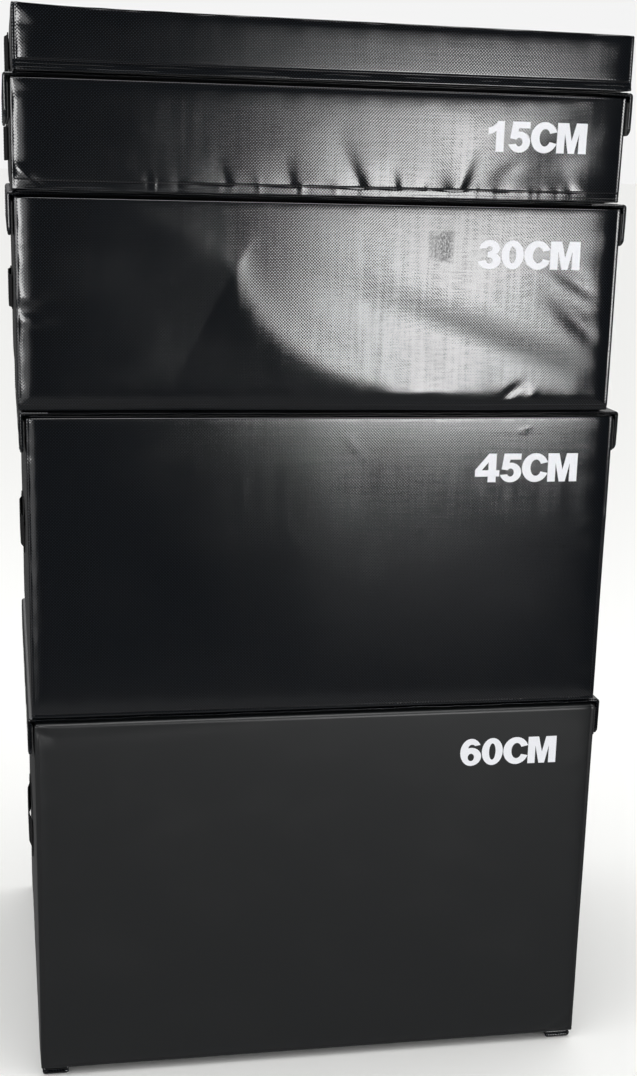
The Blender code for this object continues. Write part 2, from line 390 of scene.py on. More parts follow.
def make_piece(name, points, face_sets, material, body=None, uv=None):
    """A smooth mesh from points and one array of faces for each number of corners.

    If the signed volume is negative the shape is inside out, so every face is reversed.
    uv gives one pair of numbers for each point, or for each corner in the order of faces.
    """
    points = np.asarray(points, float).reshape(-1, 3)
    if sum(volume_of(points, faces) for faces in face_sets) < 0:
        face_sets = [faces[:, ::-1] for faces in face_sets]
    corners = np.concatenate([faces.reshape(-1) for faces in face_sets])
    sizes = np.concatenate([np.full(len(faces), faces.shape[1]) for faces in face_sets])
    mesh = bpy.data.meshes.new(name)
    mesh.vertices.add(len(points))
    mesh.vertices.foreach_set("co", points.astype(np.float32).reshape(-1))
    mesh.loops.add(len(corners))
    mesh.loops.foreach_set("vertex_index", corners.astype(np.int32))
    mesh.polygons.add(len(sizes))
    mesh.polygons.foreach_set("loop_start", (np.cumsum(sizes) - sizes).astype(np.int32))
    mesh.update(calc_edges=True)
    mesh.shade_smooth()
    if uv is not None:
        layer = mesh.uv_layers.new(name="cloth")
        layer.data.foreach_set("uv", uv[corners].astype(np.float32).reshape(-1))
    piece = bpy.data.objects.new(name, mesh)
    bpy.context.scene.collection.objects.link(piece)
    mesh.materials.append(material)
    if body:
        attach(piece, body)
    return piece


def triangles_of(piece):
    """How many triangles a piece has, once its modifiers have run."""
    seen = piece.evaluated_get(bpy.context.evaluated_depsgraph_get())
    return sum(len(face.vertices) - 2 for face in seen.data.polygons)


# %% [markdown]
# ## Coated fabric
# The covers are PVC tarpaulin: a black soft PVC film calendered onto a woven polyester
# scrim. The film is smooth and half glossy, and the threads print through it as a fine
# checker of small humps, which is what breaks up the sheen. The scrim has a thread every
# 1.4 mm. Long faint streaks come from the uneven tension of the threads. Handling leaves
# a dull grey bloom in patches, where the film is rougher.

# %% PVC-coated fabric
WEAVE_MM = 2.2
WEAVE_RELIEF = 0.000040
STREAK_RELIEF = 0.00010
PLASTIC_IOR = 1.53


def checker(tree, place, pitch_mm):
    """Product of two sines, one across and one along the cloth, which is a checker of humps."""
    scale = math.pi / (pitch_mm / 1000)
    turned = add_node(tree, "VectorMath", {"operation": "SCALE"}, i0=place, Scale=scale)
    parts = add_node(tree, "SeparateXYZ", None, Vector=turned.outputs[0])
    across = calculate(tree, "SINE", parts.outputs[0])
    along = calculate(tree, "SINE", parts.outputs[1])
    return calculate(tree, "MULTIPLY", across, along)


def upright_checker(tree, pitch_mm):
    parts = add_node(tree, "SeparateXYZ", None, Vector=own_place(tree))
    flat = add_node(tree, "CombineXYZ", None, X=parts.outputs[0], Y=parts.outputs[2])
    return checker(tree, flat.outputs[0], pitch_mm)


def stretched_noise(tree, place, scale, detail=2.0):
    """Noise on the cloth's own coordinates with a scale of its own, per metre, on each axis."""
    mapped = add_node(tree, "Mapping", None, Vector=place, Scale=scale)
    return add_node(
        tree, "TexNoise", None, Vector=mapped.outputs[0], Scale=1.0, Detail=detail, Roughness=0.55
    ).outputs["Fac"]


def coated_fabric(name, gap_colour, painted_glint_colour, roughness, bloom_roughness, relief=1.0):
    """PVC-coated scrim. The colour follows the weave: the tips of the humps are painted lighter, as painted
    glints where the humps catch the light. Upright bars and level dashes of tighter thread make the humps
    uneven.
    Roughness rises in soft patches of bloom, and where the attribute wear marks a scuff."""
    material, tree, shader = new_material(name)
    cloth = add_node(tree, "UVMap", {"uv_map": "cloth"}).outputs[0]
    weave = checker(tree, cloth, WEAVE_MM)
    bars = ranged(tree, stretched_noise(tree, cloth, (150.0, 7.0, 1.0)), 0.36, 0.64, 0.70, 1.30)
    dashes = ranged(tree, stretched_noise(tree, cloth, (45.0, 420.0, 1.0)), 0.40, 0.60, 0.70, 1.30)
    threads = calculate(tree, "MULTIPLY", weave, calculate(tree, "MULTIPLY", bars, dashes))
    # Painted glints: the tips of the humps take the lighter second colour
    painted_glint_share = calculate(tree, "POWER", calculate(tree, "MAXIMUM", weave, 0.0), 3.0)
    patches = stretched_noise(tree, cloth, (7.0, 9.0, 1.0), 6.0)
    bloom = ranged(tree, patches, 0.48, 0.78, 0.0, 1.0)
    rough = mixed(tree, bloom, roughness, bloom_roughness)
    grain = stretched_noise(tree, cloth, (420.0, 260.0, 1.0), 4.0)
    rubbed = ranged(tree, grain, 0.40, 0.60, 0.1, 0.4)
    wear = add_node(tree, "Attribute", {"attribute_name": "wear"}).outputs["Fac"]
    level = stretched_noise(tree, cloth, (6.0, 110.0, 1.0))
    soft = bumped(tree, level, STREAK_RELIEF * relief)
    set_inputs(
        tree, shader,
        Base_Color=tinted(tree, painted_glint_share, gap_colour, painted_glint_colour),
        Roughness=calculate(tree, "MULTIPLY_ADD", wear, rubbed, rough),
        Normal=bumped(tree, threads, WEAVE_RELIEF * relief, Normal=soft),
        IOR=PLASTIC_IOR,
    )
    return material


# The first colour is the cloth's own, and the second is the painted glint on the tips of the humps
glossy_vinyl = coated_fabric("pvc_tarpaulin_gloss", "#030405", "#343A44", 0.14, 0.18)
# The 60 cm box has a rougher cloth. Its colours are painted lighter than the glossy cloth's, as a painted
# reflection of the pale floor in front of it
matt_vinyl_painted_sheen = coated_fabric("pvc_tarpaulin_matt_painted_sheen", "#0F1214", "#22262A", 0.40, 0.46, 0.5)
print("materials", glossy_vinyl.name, matt_vinyl_painted_sheen.name)

# %% [markdown]
# ## The shape of a cover
# Each cover is sewn from panels. The seams run round the edges, held flat by a row of
# topstitching, and the foam puffs the cloth out between them. The whole closed skin is one
# surface of two parameters: a profile that climbs from the middle of the underside, out to
# the edge, up the wall and back to the middle of the top, carried round a rectangle with
# rounded corners. The relief of each face then moves the points along that face's own axis:
# the band at the seam, the swell of the foam, and the creases, dents and puckers of the
# cloth. Behind its face a relief fades out over 35 mm, so that two faces meet without a
# ridge at the edge between them.

# %% Relief of a sewn edge
SEAM_BAND = 0.0062
STITCH_DIP = 0.00025
STITCH_DIP_WIDTH = 0.0011
# An edge whose pull reaches less far than this is a sharp lip, and its reach doesn't wander
SHARP_REACH = 0.002
EDGES = ("left", "right", "top", "base")


def panel_shape(left, right, top, base, swell=0.0, lean=0.0):
    """The numbers of one panel under the names of its edges, in metres.

    For each edge: how deep its seam lies below the face, how far the pull reaches and how
    wide the flat band is. For the whole panel: how far its middle swells, and how far the
    lower rim of the base band stands forward of the band's stitches.
    """
    return {"left": left, "right": right, "top": top, "base": base, "swell": swell, "lean": lean}


FRONT_SHAPE = {
    "60": panel_shape((0.0030, 0.010, 0.0062), (0.0030, 0.010, 0.0062), (0.0, 0.002, 0.0),
                      (0.0030, 0.010, 0.0062), 0.0010),
    "45": panel_shape((0.0034, 0.0062, 0.0020), (0.0045, 0.010, 0.0062), (0.0006, 0.002, 0.0),
                      (0.0035, 0.008, 0.0062), 0.0012),
    "30": panel_shape((0.0060, 0.012, 0.0024), (0.0055, 0.010, 0.0062), (0.0009, 0.0032, 0.0),
                      (0.0040, 0.0075, 0.0095), 0.0012, -0.0028),
    "15": panel_shape((0.0055, 0.011, 0.0020), (0.0055, 0.034, 0.0055), (0.0019, 0.0058, 0.0030),
                      (0.0006, 0.0012, 0.0140), 0.0006),
    "7_5": panel_shape((0.0060, 0.012, 0.0044), (0.0045, 0.012, 0.0050), (0.0024, 0.006, 0.0010),
                       (0.0026, 0.0012, 0.0125), 0.0002, 0.0026),
}
PLAIN_SHAPE = panel_shape((0.0016, 0.012, SEAM_BAND), (0.0016, 0.012, SEAM_BAND),
                          (0.0012, 0.010, SEAM_BAND), (0.0012, 0.010, SEAM_BAND))


def flat_arch(share, exponent=4):
    """1 over most of the middle and 0 at -1 and 1: an arch with a flat top."""
    return 1 - np.clip(np.abs(share), 0, 1) ** exponent


def edge_pull(distance, depth, reach, band):
    """0 to depth: full on the seam band, then an exponential release with the reach given for
    each point. A reach that is one number makes a sharp lip, which releases as a bell."""
    away = np.maximum(distance - band, 0.0) / reach
    return depth * np.exp(-(away**2) if np.ndim(reach) == 0 else -away)


def sewn_panel(shape, p, q, width, height):
    """Height of a panel above its flat plane. p runs across from the middle, q up from the base.

    The four edge pulls join as 1 - (1 - a)(1 - b), so that they don't add up at a corner.
    Their reach wanders by a quarter, as two cosines along the edge. The swell is a product of
    two flat-topped arches. A narrow dip marks the topstitching of the sides and the base.
    """
    distances = (p + width / 2, width / 2 - p, height - q, q)
    places = (q, q, p, p)
    deepest = max(shape[edge][0] for edge in EDGES)
    kept = 1.0
    dip = 0.0
    for i, (distance, edge) in enumerate(zip(distances, EDGES)):
        depth, reach, band = shape[edge]
        if reach >= SHARP_REACH:
            turn = places[i] * 2 * math.pi
            short, long = np.cos(turn / 0.047 + i), np.cos(turn / 0.083 + 2 * i + 1)
            reach = reach * (1 + 0.14 * short + 0.12 * long)
        kept = kept * (1 - edge_pull(distance, depth, reach, band) / deepest)
        if edge != "top":
            dip = dip + np.exp(-(((distance - band) / STITCH_DIP_WIDTH) ** 2))
    arch = flat_arch(2 * p / width) * flat_arch(2 * q / height - 1)
    forward = shape["lean"] * np.clip(1 - q / shape["base"][2], 0, 1)
    return shape["swell"] * arch - deepest * (1 - kept) - STITCH_DIP * np.minimum(dip, 1.0) + forward


def hollows(marks, p, q):
    """Sum of leaning bell shapes. Each mark is its middle, half length, half width, lean from
    the level in degrees, and height, which is below zero for a dent."""
    total = np.zeros_like(p)
    for centre_p, centre_q, half_length, half_width, lean, height in marks:
        cos, sin = math.cos(math.radians(lean)), math.sin(math.radians(lean))
        along = (p - centre_p) * cos + (q - centre_q) * sin
        across = -(p - centre_p) * sin + (q - centre_q) * cos
        total = total + height * np.exp(-((along / half_length) ** 2) - (across / half_width) ** 2)
    return total


def tucks(marks, p, q):
    """Folds that start at a stitch and open upwards. Each runs from its foot to its tip, and is
    a bell across its line that is three times as wide on the left as on the right, so that
    one flank is steep and the other is gentle. It fades towards the tip as (1 - t)^1.3."""
    total = np.zeros_like(p)
    for foot_p, foot_q, tip_p, tip_q, width, depth in marks:
        length = math.hypot(tip_p - foot_p, tip_q - foot_q)
        dp, dq = (tip_p - foot_p) / length, (tip_q - foot_q) / length
        along = ((p - foot_p) * dp + (q - foot_q) * dq) / length
        across = (p - foot_p) * dq - (q - foot_q) * dp
        opened = width * (0.55 + 1.0 * np.clip(along, 0, 1))
        bell = np.exp(-((across / np.where(across < 0, 3.0 * opened, opened)) ** 2))
        fade = (1 - np.clip(along, 0, 1)) ** 1.3 * np.clip(1 + (q - foot_q) / 0.003, 0, 1)
        total = total - depth * bell * fade
    return total


def ledge(p, q, start, end, height, width, bow):
    """A soft ridge whose lower left side falls away. Above the line from start to end the ridge
    sinks back as a bell of 35 mm. Below it the face falls as 1 - exp(-distance / width), with
    the bend rounded over 6 mm at the end and 16 mm at the start, and ever more softly before
    it. The line bends down by bow t^0.7 (1 - t)^1.2, which gives it a round nose."""
    length = math.hypot(end[0] - start[0], end[1] - start[1])
    dp, dq = (end[0] - start[0]) / length, (end[1] - start[1]) / length
    along = ((p - start[0]) * dp + (q - start[1]) * dq) / length
    below = (p - start[0]) * dq - (q - start[1]) * dp
    share = np.clip(along, 0, 1)
    below = below - bow * share**0.7 * (1 - share) ** 1.2
    bend = 0.006 + 0.010 * (1 - share) ** 2 + 0.12 * np.maximum(-along, 0)
    rounded = bend * np.logaddexp(0, below / bend)
    ends = np.exp(-((np.maximum(0.14 - along, 0) / 0.75) ** 2) - (np.maximum(along - 1, 0) / 0.20) ** 2)
    ridge = 0.25 * height * np.exp(-((np.maximum(-below, 0) / 0.035) ** 2))
    return (ridge - height * (1 - np.exp(-rounded / width))) * ends


# %% [markdown]
# ## Creases, dents and puckers of the fronts
# A cover that is jumped on creases where the foam gives way, and puckers where the thread
# pulls. Each dent or fold here is one soft bell with a place, a size and a lean of its own,
# so a list of numbers holds them all and any of them can be moved alone. The small gathers
# along the hem are too many to place by hand. They are drawn from a fixed seed, which makes
# them the same in every run.

# %% Creases, dents and puckers of the fronts
# Middle across and up, half length, half width, lean in degrees, and height. Lengths are in
# metres
FRONT_MARKS = {
    "60": [
        (-0.30, 0.560, 0.20, 0.012, 3, -0.0006),
        (0.414, 0.020, 0.030, 0.008, 35, -0.0015),
        (-0.425, 0.560, 0.016, 0.008, -40, -0.0030),
    ],
    "45": [
        (-0.425, 0.398, 0.026, 0.006, 0, -0.0012),
        (0.298, 0.433, 0.008, 0.003, 20, 0.0004),
        (0.040, 0.405, 0.022, 0.005, -50, 0.00018),
        (0.143, 0.280, 0.005, 0.003, 5, 0.0004),
        (0.426, 0.292, 0.030, 0.009, 25, 0.0005),
        (-0.05, 0.270, 0.030, 0.006, -60, 0.00012),
    ],
    "30": [
        (0.220, 0.100, 0.210, 0.038, -19, -0.0026),
        (-0.424, 0.235, 0.016, 0.007, 0, 0.0010),
        (-0.418, 0.161, 0.022, 0.008, 4, 0.0018),
        (-0.416, 0.128, 0.024, 0.007, -6, 0.0020),
        (-0.420, 0.145, 0.020, 0.006, 0, -0.0012),
        (0.372, 0.192, 0.040, 0.012, -30, -0.0012),
        (0.385, 0.130, 0.060, 0.016, -42, -0.0016),
        (0.284, 0.030, 0.020, 0.007, 35, -0.0012),
        (0.314, 0.022, 0.014, 0.007, 60, 0.0012),
        (0.150, 0.028, 0.060, 0.010, 4, 0.0008),
    ],
    "15": [
        (0.262, 0.038, 0.026, 0.012, 30, -0.0009),
        (0.352, 0.072, 0.085, 0.036, 30, -0.0027),
        (-0.420, 0.022, 0.022, 0.007, -35, 0.0022),
        (-0.424, 0.132, 0.020, 0.009, 0, -0.0007),
    ],
    "7_5": [
        (-0.424, 0.056, 0.014, 0.006, -8, -0.0008),
    ],
}
# Foot, tip, width and depth of each tuck above the hem of the 15 cm box, in metres
FRONT_TUCKS = [
    (0.048, 0.014, -0.006, 0.104, 0.0150, 0.0017),
    (0.098, 0.014, 0.083, 0.058, 0.0110, 0.0012),
    (0.192, 0.014, 0.218, 0.112, 0.0140, 0.0028),
    (0.357, 0.016, 0.326, 0.076, 0.0190, 0.0008),
    (0.262, 0.014, 0.270, 0.036, 0.0060, 0.0006),
    (0.140, 0.014, 0.134, 0.032, 0.0060, 0.0006),
    (-0.052, 0.014, -0.070, 0.070, 0.0120, 0.0012),
    (-0.142, 0.014, -0.165, 0.054, 0.0100, 0.0011),
]
PUCKER_SEED = 15
# The foam of the 15 cm box is crushed at its lower right end, where it falls back as a
# parabola, and its upper part leans forward as another
FALL_START = 0.10
FALL_BEND = 0.065
FORWARD_START = 0.06
FORWARD_BEND = 0.09
# How far the slow waves of each front rise and sink, in metres
FRONT_WAVES = {"60": 0.0003, "45": 0.0006, "30": 0.0005, "15": 0.0003, "7_5": 0.0001}


def puckers(p, q, first, last, count, height, rise):
    """Gathers above a row of topstitching: upright folds that are sharp at the thread and fade
    with exp(-q / rise). Each fold has its own place, lean and width, drawn from a fixed seed."""
    draw = np.random.default_rng(PUCKER_SEED)
    total = np.zeros_like(p)
    for middle in np.sort(draw.uniform(first, last, count)):
        width = draw.uniform(0.0024, 0.0060)
        lean = draw.uniform(-0.5, 0.5)
        fold = height * draw.uniform(-1.0, 0.8)
        reach = rise * draw.uniform(0.5, 1.6)
        away = (p - middle - lean * q) / (width * (1 + q / reach))
        total = total + fold * np.exp(-(away**2) - q / reach)
    return total


def undulation(p, q, seed, size, lengths=(0.16, 0.45)):
    """Slow waves of the foam under the cloth: a sum of six cosines in directions of their own."""
    draw = np.random.default_rng(seed)
    total = np.zeros_like(p)
    for _ in range(6):
        length = draw.uniform(*lengths)
        turn = draw.uniform(0, math.pi)
        start = draw.uniform(0, 2 * math.pi)
        ahead = p * math.cos(turn) + q * math.sin(turn)
        total = total + np.cos(2 * math.pi * ahead / length + start)
    return size * total / 6


def front_relief(box, p, q):
    """Everything that lifts or sinks the front face: seams, swell, marks, puckers and waves."""
    name = box["name"]
    relief = sewn_panel(FRONT_SHAPE[name], p, q, box["width"], box["height"])
    relief = relief + hollows(FRONT_MARKS[name], p, q)
    above = np.maximum(q - FRONT_SHAPE[name]["base"][2], 0.0)
    if name == "15":
        gathers = puckers(p, above, -0.27, 0.40, 60, 0.0006, 0.007)
        gathers = gathers * (0.4 + 0.6 * np.clip((q - 0.009) / 0.005, 0, 1))
        relief = relief + tucks(FRONT_TUCKS, p, q) + gathers
        fall = FALL_BEND * np.maximum(p - FALL_START, 0) ** 2
        relief = relief - fall * (1.25 - 0.9 * q / box["height"])
        relief = relief + FORWARD_BEND * np.maximum(q - FORWARD_START, 0) ** 2
    if name == "30":
        relief = relief + ledge(p, q, (-0.135, 0.195), (0.215, 0.004), 0.0070, 0.085, 0.21)
    waves = undulation(p, q, len(name) + int(name[0]), FRONT_WAVES[name])
    return relief + flat_arch(2 * p / box["width"], 6) * waves


# %% [markdown]
# The other faces carry handles, strips and the next box, so their middles stay at the flat
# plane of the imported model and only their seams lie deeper. The back gives way by a
# millimetre along the zip, so that its tape lies flush.

# %% Relief of the other faces
ZIP_DIP = 0.0014


def side_relief(box, p, q):
    """The left and right faces: seams, and shallow hollows that stay behind the flat plane."""
    relief = sewn_panel(PLAIN_SHAPE, p, q, box["depth"], box["height"])
    return relief - 0.0004 - undulation(p, q, 31, 0.0004)


def back_relief(box, p, q):
    """The back face: seams, shallow waves, and a trough along the zip tape."""
    relief = sewn_panel(PLAIN_SHAPE, p, q, box["width"], box["height"])
    low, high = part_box("zip_tape_" + box["name"])
    level, half_height = (low.z + high.z) / 2 - box["base"], (high.z - low.z) / 2
    half_length = (high.x - low.x) / 2
    edge_q = np.clip((half_height + 0.002 - np.abs(q - level)) / 0.002, 0, 1)
    edge_p = np.clip((half_length + 0.002 - np.abs(p)) / 0.002, 0, 1)
    trough = edge_q * edge_p
    waves = 0.0005 + undulation(p, q, 57, 0.0005)
    return relief * (1 - trough) - ZIP_DIP * trough - waves * (1 - trough)


def cap_relief(box, p, q, upper):
    """The top or the underside: flat where boxes rest, pulled in along the seams. The top of
    the thin box is free, so it swells a little and keeps a few soft wrinkles."""
    q = q + box["depth"] / 2
    relief = sewn_panel(PLAIN_SHAPE, p, q, box["width"], box["depth"])
    if upper and box["name"] == "7_5":
        arch = flat_arch(2 * p / box["width"]) * flat_arch(2 * q / box["depth"] - 1)
        return relief + arch * (0.0035 + undulation(p, q, 75, 0.0016, (0.12, 0.40)))
    return relief


# %% [markdown]
# ## Points of a cover
# The skin could be built as six panels, but then they would have to be joined along every
# edge. Instead a ring of points round the box is carried along a profile from the middle of
# the underside to the middle of the top, and after that the reliefs move the points. They
# lie close together near the seams, where the shape changes quickly, and wide apart on the
# calm middle of a face.

# %% Points of a cover
EDGE_ROUNDING = {"60": (0.0030, 0.0065), "45": (0.0020, 0.0020), "30": (0.0020, 0.0020),
                 "15": (0.0020, 0.0015), "7_5": (0.0020, 0.0020)}
EDGE_SPREAD = 0.035
CORNER_ROUNDING = 0.0022
CORNER_STEPS = 5


def raised(box, points):
    """The foam of the thin box has swollen at its left front corner. Its points rise by up to
    12 mm there, less along the front edge and towards the back, and in step with their
    height above its base."""
    if box["name"] != "7_5":
        return points
    from_left = points[..., 0] - box["x"] + box["width"] / 2
    from_front = points[..., 1] - box["y"] + box["depth"] / 2
    share = np.clip((points[..., 2] - box["base"]) / box["height"], 0, 1)
    rise = 0.0070 * np.clip(1 - from_left / 0.86, 0, 1) + 0.0050 * np.exp(-from_left / 0.05)
    lifted = np.array(points, float)
    lifted[..., 2] += rise * share * np.exp(-np.maximum(from_front, 0) / 0.25)
    return lifted


def stations(length, fine, span, coarse):
    """Distances from 0 to length, close together near both ends and wider in the middle."""
    near = np.arange(0, span, fine)
    middle = np.linspace(span, length - span, max(int(round((length - 2 * span) / coarse)), 2) + 1)
    return np.concatenate([near, middle, length - near[::-1]])


def ring(half_width, half_depth, steps):
    """Round a rectangle from the front left corner: unit places on its sides, as signs of the
    core rectangle with shares along it, and the outward direction at each place."""
    front = stations(2 * half_width, *steps["front"]) / half_width - 1
    side = stations(2 * half_depth, *steps["side"]) / half_depth - 1
    back = stations(2 * half_width, *steps["back"]) / half_width - 1
    corner = np.linspace(0, math.pi / 2, CORNER_STEPS + 2)[1:-1]
    share, out = [], []
    straight = (
        (np.stack([front, -np.ones_like(front)], 1), -math.pi / 2, (1, -1)),
        (np.stack([np.ones_like(side), side], 1), 0.0, (1, 1)),
        (np.stack([-back, np.ones_like(back)], 1), math.pi / 2, (-1, 1)),
        (np.stack([-np.ones_like(side), -side], 1), math.pi, (-1, -1)),
    )
    for places, facing, end in straight:
        share += [places, np.repeat([end], len(corner), axis=0)]
        out += [np.full(len(places), facing), facing + corner]
    angle = np.concatenate(out)
    return np.concatenate(share), np.stack([np.cos(angle), np.sin(angle)], 1)


def profile(box, steps):
    """From the middle of the underside to the middle of the top: the share of the ring's size
    that is left, the inset from the wall, the height and the tilt of the outward direction."""
    height = box["height"]
    lower, upper = EDGE_ROUNDING[box["name"]]
    cap = np.array(steps["cap"])
    turn = np.linspace(0, math.pi / 2, 6)[:-1]
    rise = lower + stations(height - lower - upper, *steps["rise"])
    rows = [(s, lower, 0.0, -math.pi / 2) for s in cap]
    rows += [(1.0, lower * (1 - math.sin(t)), lower * (1 - math.cos(t)), t - math.pi / 2) for t in turn]
    rows += [(1.0, 0.0, z, 0.0) for z in rise]
    rows += [(1.0, upper * (1 - math.cos(t)), height - upper * (1 - math.sin(t)), t) for t in turn[1:]]
    rows += [(s, upper, height, math.pi / 2) for s in cap[::-1]]
    return np.array(rows)


def pulled(box, x, y, z):
    """The points of the plain rounded block after the reliefs of the six faces have moved them.

    Each relief moves points along its own axis only. Its share is 1 on its face and falls as
    a smooth step over 35 mm behind it, so two faces meet at an edge without a ridge.
    """
    half_x, half_y = box["width"] / 2, box["depth"] / 2

    def part(distance):
        t = np.clip(distance / EDGE_SPREAD, 0, 1)
        return (1 - t) ** 2 * (1 + 2 * t)

    move_x = side_relief(box, y, z) * (part(half_x - x) - part(half_x + x))
    move_y = back_relief(box, x, z) * part(half_y - y) - front_relief(box, x, z) * part(half_y + y)
    move_z = cap_relief(box, x, y, True) * part(box["height"] - z)
    move_z = move_z - cap_relief(box, x, y, False) * part(z)
    return np.stack([x + move_x, y + move_y, z + move_z], axis=-1)


def cover_points(box, share, out, rows, inset=0.0):
    """The cover's surface on a grid of profile rows and ring columns: a plain rounded block,
    pulled by the reliefs and drawn in by the inset along its outward direction."""
    half = np.array([box["width"], box["depth"]]) / 2
    size, drawn_in, z, tilt = (rows[:, None, i] for i in range(4))
    radius = np.maximum(CORNER_ROUNDING - drawn_in, 0.0008)[..., None]
    core = half[None, None, :] - drawn_in[..., None] - radius
    flat = (core * share[None] + radius * out[None]) * size[..., None]
    x, y = flat[..., 0], flat[..., 1]
    z = np.broadcast_to(z, x.shape)
    level, rise = np.cos(tilt), np.sin(tilt)
    normal = np.stack([out[None, :, 0] * level, out[None, :, 1] * level, rise + 0 * x], axis=-1)
    points = pulled(box, x, y, z) - normal * inset
    return raised(box, points + np.array([box["x"], box["y"], box["base"]]))


def closed_skin(grid):
    """Points and faces of a grid that is closed round its columns and ends in a pole at the
    middle of its first and its last row."""
    rows, columns = grid.shape[:2]
    poles = np.stack([grid[0].mean(axis=0), grid[-1].mean(axis=0)])
    points = np.concatenate([grid.reshape(-1, 3), poles])
    here = np.arange(columns)
    following = (here + 1) % columns
    first, last = rows * columns, rows * columns + 1
    final = (rows - 1) * columns
    fans = np.concatenate([
        np.stack([following, here, np.full(columns, first)], 1),
        np.stack([final + here, final + following, np.full(columns, last)], 1),
    ])
    return points, [grid_quads(rows, columns, close_columns=True), fans]


# %% [markdown]
# The weave has to run along each panel, so the cover carries a UV map in metres of cloth:
# across and up on the walls, and across and deep on the top and the underside. Each corner
# of a face takes its pair of numbers from the panel that the face belongs to.

# %% Covers
COVER_STEPS = {
    "front": (0.0013, 0.016, 0.0040),
    "side": (0.0016, 0.016, 0.0140),
    "back": (0.0016, 0.016, 0.0130),
    "rise": (0.0008, 0.0176, 0.0040),
    "cap": (0.12, 0.25, 0.40, 0.55, 0.68, 0.78, 0.86, 0.92, 0.955, 0.975, 0.988),
}
# The gathers of the 15 cm box need closer columns on its front, and the calm fronts of the
# two tall boxes need fewer rows
FRONT_STEP = {"15": 0.0022}
RISE_STEP = {"45": 0.0055, "60": 0.0060}


def cloth_map(points, faces, box):
    """One pair of numbers for each corner: x or y along a wall with z up, and x with y on the
    top and the underside, chosen by the largest part of the normal of each face."""
    pairs = []
    centre = np.array([box["x"], box["y"], box["base"]])
    for group in faces:
        corner = points[group] - centre
        normal = np.abs(np.cross(corner[:, 1] - corner[:, 0], corner[:, 2] - corner[:, 0]))
        upright = normal.argmax(axis=1)
        across = np.where((upright == 0)[:, None], corner[..., 1] + 2.0, corner[..., 0])
        along = np.where((upright == 2)[:, None], corner[..., 1] + 3.0, corner[..., 2])
        pairs.append(np.stack([across, along], axis=-1).reshape(-1, 2))
    return np.concatenate(pairs)


# Scuffed places of the fronts: middle, half width and half height in metres, and strength
SCUFFS = {"30": [(0.1590, 0.240, 0.0100, 0.018, 0.34), (0.1735, 0.240, 0.0095, 0.022, 0.52),
                 (-0.270, 0.130, 0.130, 0.100, 0.05)],
          "45": [(-0.200, 0.330, 0.200, 0.080, 0.04)]}


def wear_of(box, points):
    """For each point of a front, how scuffed it is: soft rectangles, 0 beyond their rims."""
    p, q = points[:, 0] - box["x"], points[:, 2] - box["base"]
    front = points[:, 1] < box["y"] - box["depth"] / 2 + 0.012
    wear = np.zeros(len(points))
    for middle_p, middle_q, half_p, half_q, strength in SCUFFS.get(box["name"], []):
        away = np.maximum(np.abs(p - middle_p) / half_p, np.abs(q - middle_q) / half_q)
        wear = np.maximum(wear, strength * np.clip(5 * (1.1 - away), 0, 1))
    return wear * front


def make_cover(box):
    """One sewn cover as a closed skin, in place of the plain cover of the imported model."""
    steps = dict(COVER_STEPS)
    for part, special in (("front", FRONT_STEP), ("rise", RISE_STEP)):
        fine, span, coarse = COVER_STEPS[part]
        steps[part] = (fine, span, special.get(box["name"], coarse))
    share, out = ring(box["width"] / 2, box["depth"] / 2, steps)
    points, faces = closed_skin(cover_points(box, share, out, profile(box, steps)))
    if sum(volume_of(points - points.mean(axis=0), group) for group in faces) < 0:
        faces = [group[:, ::-1] for group in faces]
    # The 60 cm box takes the rough cloth with the painted floor reflection
    material = matt_vinyl_painted_sheen if box["name"] == "60" else glossy_vinyl
    cover = make_piece("sewn_cover_" + box["name"], points, faces, material, box["body"])
    layer = cover.data.uv_layers.new(name="cloth")
    layer.data.foreach_set("uv", cloth_map(points, faces, box).astype(np.float32).reshape(-1))
    worn = cover.data.attributes.new("wear", "FLOAT", "POINT")
    worn.data.foreach_set("value", wear_of(box, points).astype(np.float32))
    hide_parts("cover_" + box["name"])
    return cover


covers = {name: make_cover(box) for name, box in boxes.items()}
print("covers", {name: triangles_of(cover) for name, cover in covers.items()})

# %% [markdown]
# ## Foam inside
# Each cover is filled by one block of closed-cell polyethylene foam, cut with a hot wire. It
# has to follow the pull of the seams, so it is made from the same surface as the cover,
# drawn in by a few millimetres and on a coarser grid, because nobody sees its fine shape.

# %% Foam blocks
FOAM_INSET = 0.0035
FOAM_STEPS = {
    "front": (0.0040, 0.024, 0.0120),
    "side": (0.0040, 0.024, 0.0200),
    "back": (0.0040, 0.024, 0.0200),
    "rise": (0.0040, 0.016, 0.0090),
    "cap": (0.25, 0.50, 0.75, 0.90, 0.96),
}


def cut_foam(name):
    """Closed-cell foam: pale grey, matt, with a fine open grain of cut cells about 1 mm wide."""
    material, tree, shader = new_material(name)
    cells = add_node(tree, "TexVoronoi", None, Vector=own_place(tree), Scale=900.0)
    grain = cells.outputs["Distance"]
    tint = tinted(tree, grain, "#8E9093", "#A6A8AA")
    set_inputs(tree, shader, Base_Color=tint, Normal=bumped(tree, grain, 0.0004), Roughness=0.95)
    return material


foam = cut_foam("polyethylene_foam_cut")


def make_foam(box):
    """The block under the cover: the cover's own surface, drawn in along its outward direction."""
    share, out = ring(box["width"] / 2, box["depth"] / 2, FOAM_STEPS)
    grid = cover_points(box, share, out, profile(box, FOAM_STEPS), FOAM_INSET)
    points, faces = closed_skin(grid)
    block = make_piece("foam_block_" + box["name"], points, faces, foam, box["body"])
    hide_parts("foam_core_" + box["name"])
    return block


blocks = {name: make_foam(box) for name, box in boxes.items()}
print("foam", {name: triangles_of(block) for name, block in blocks.items()})

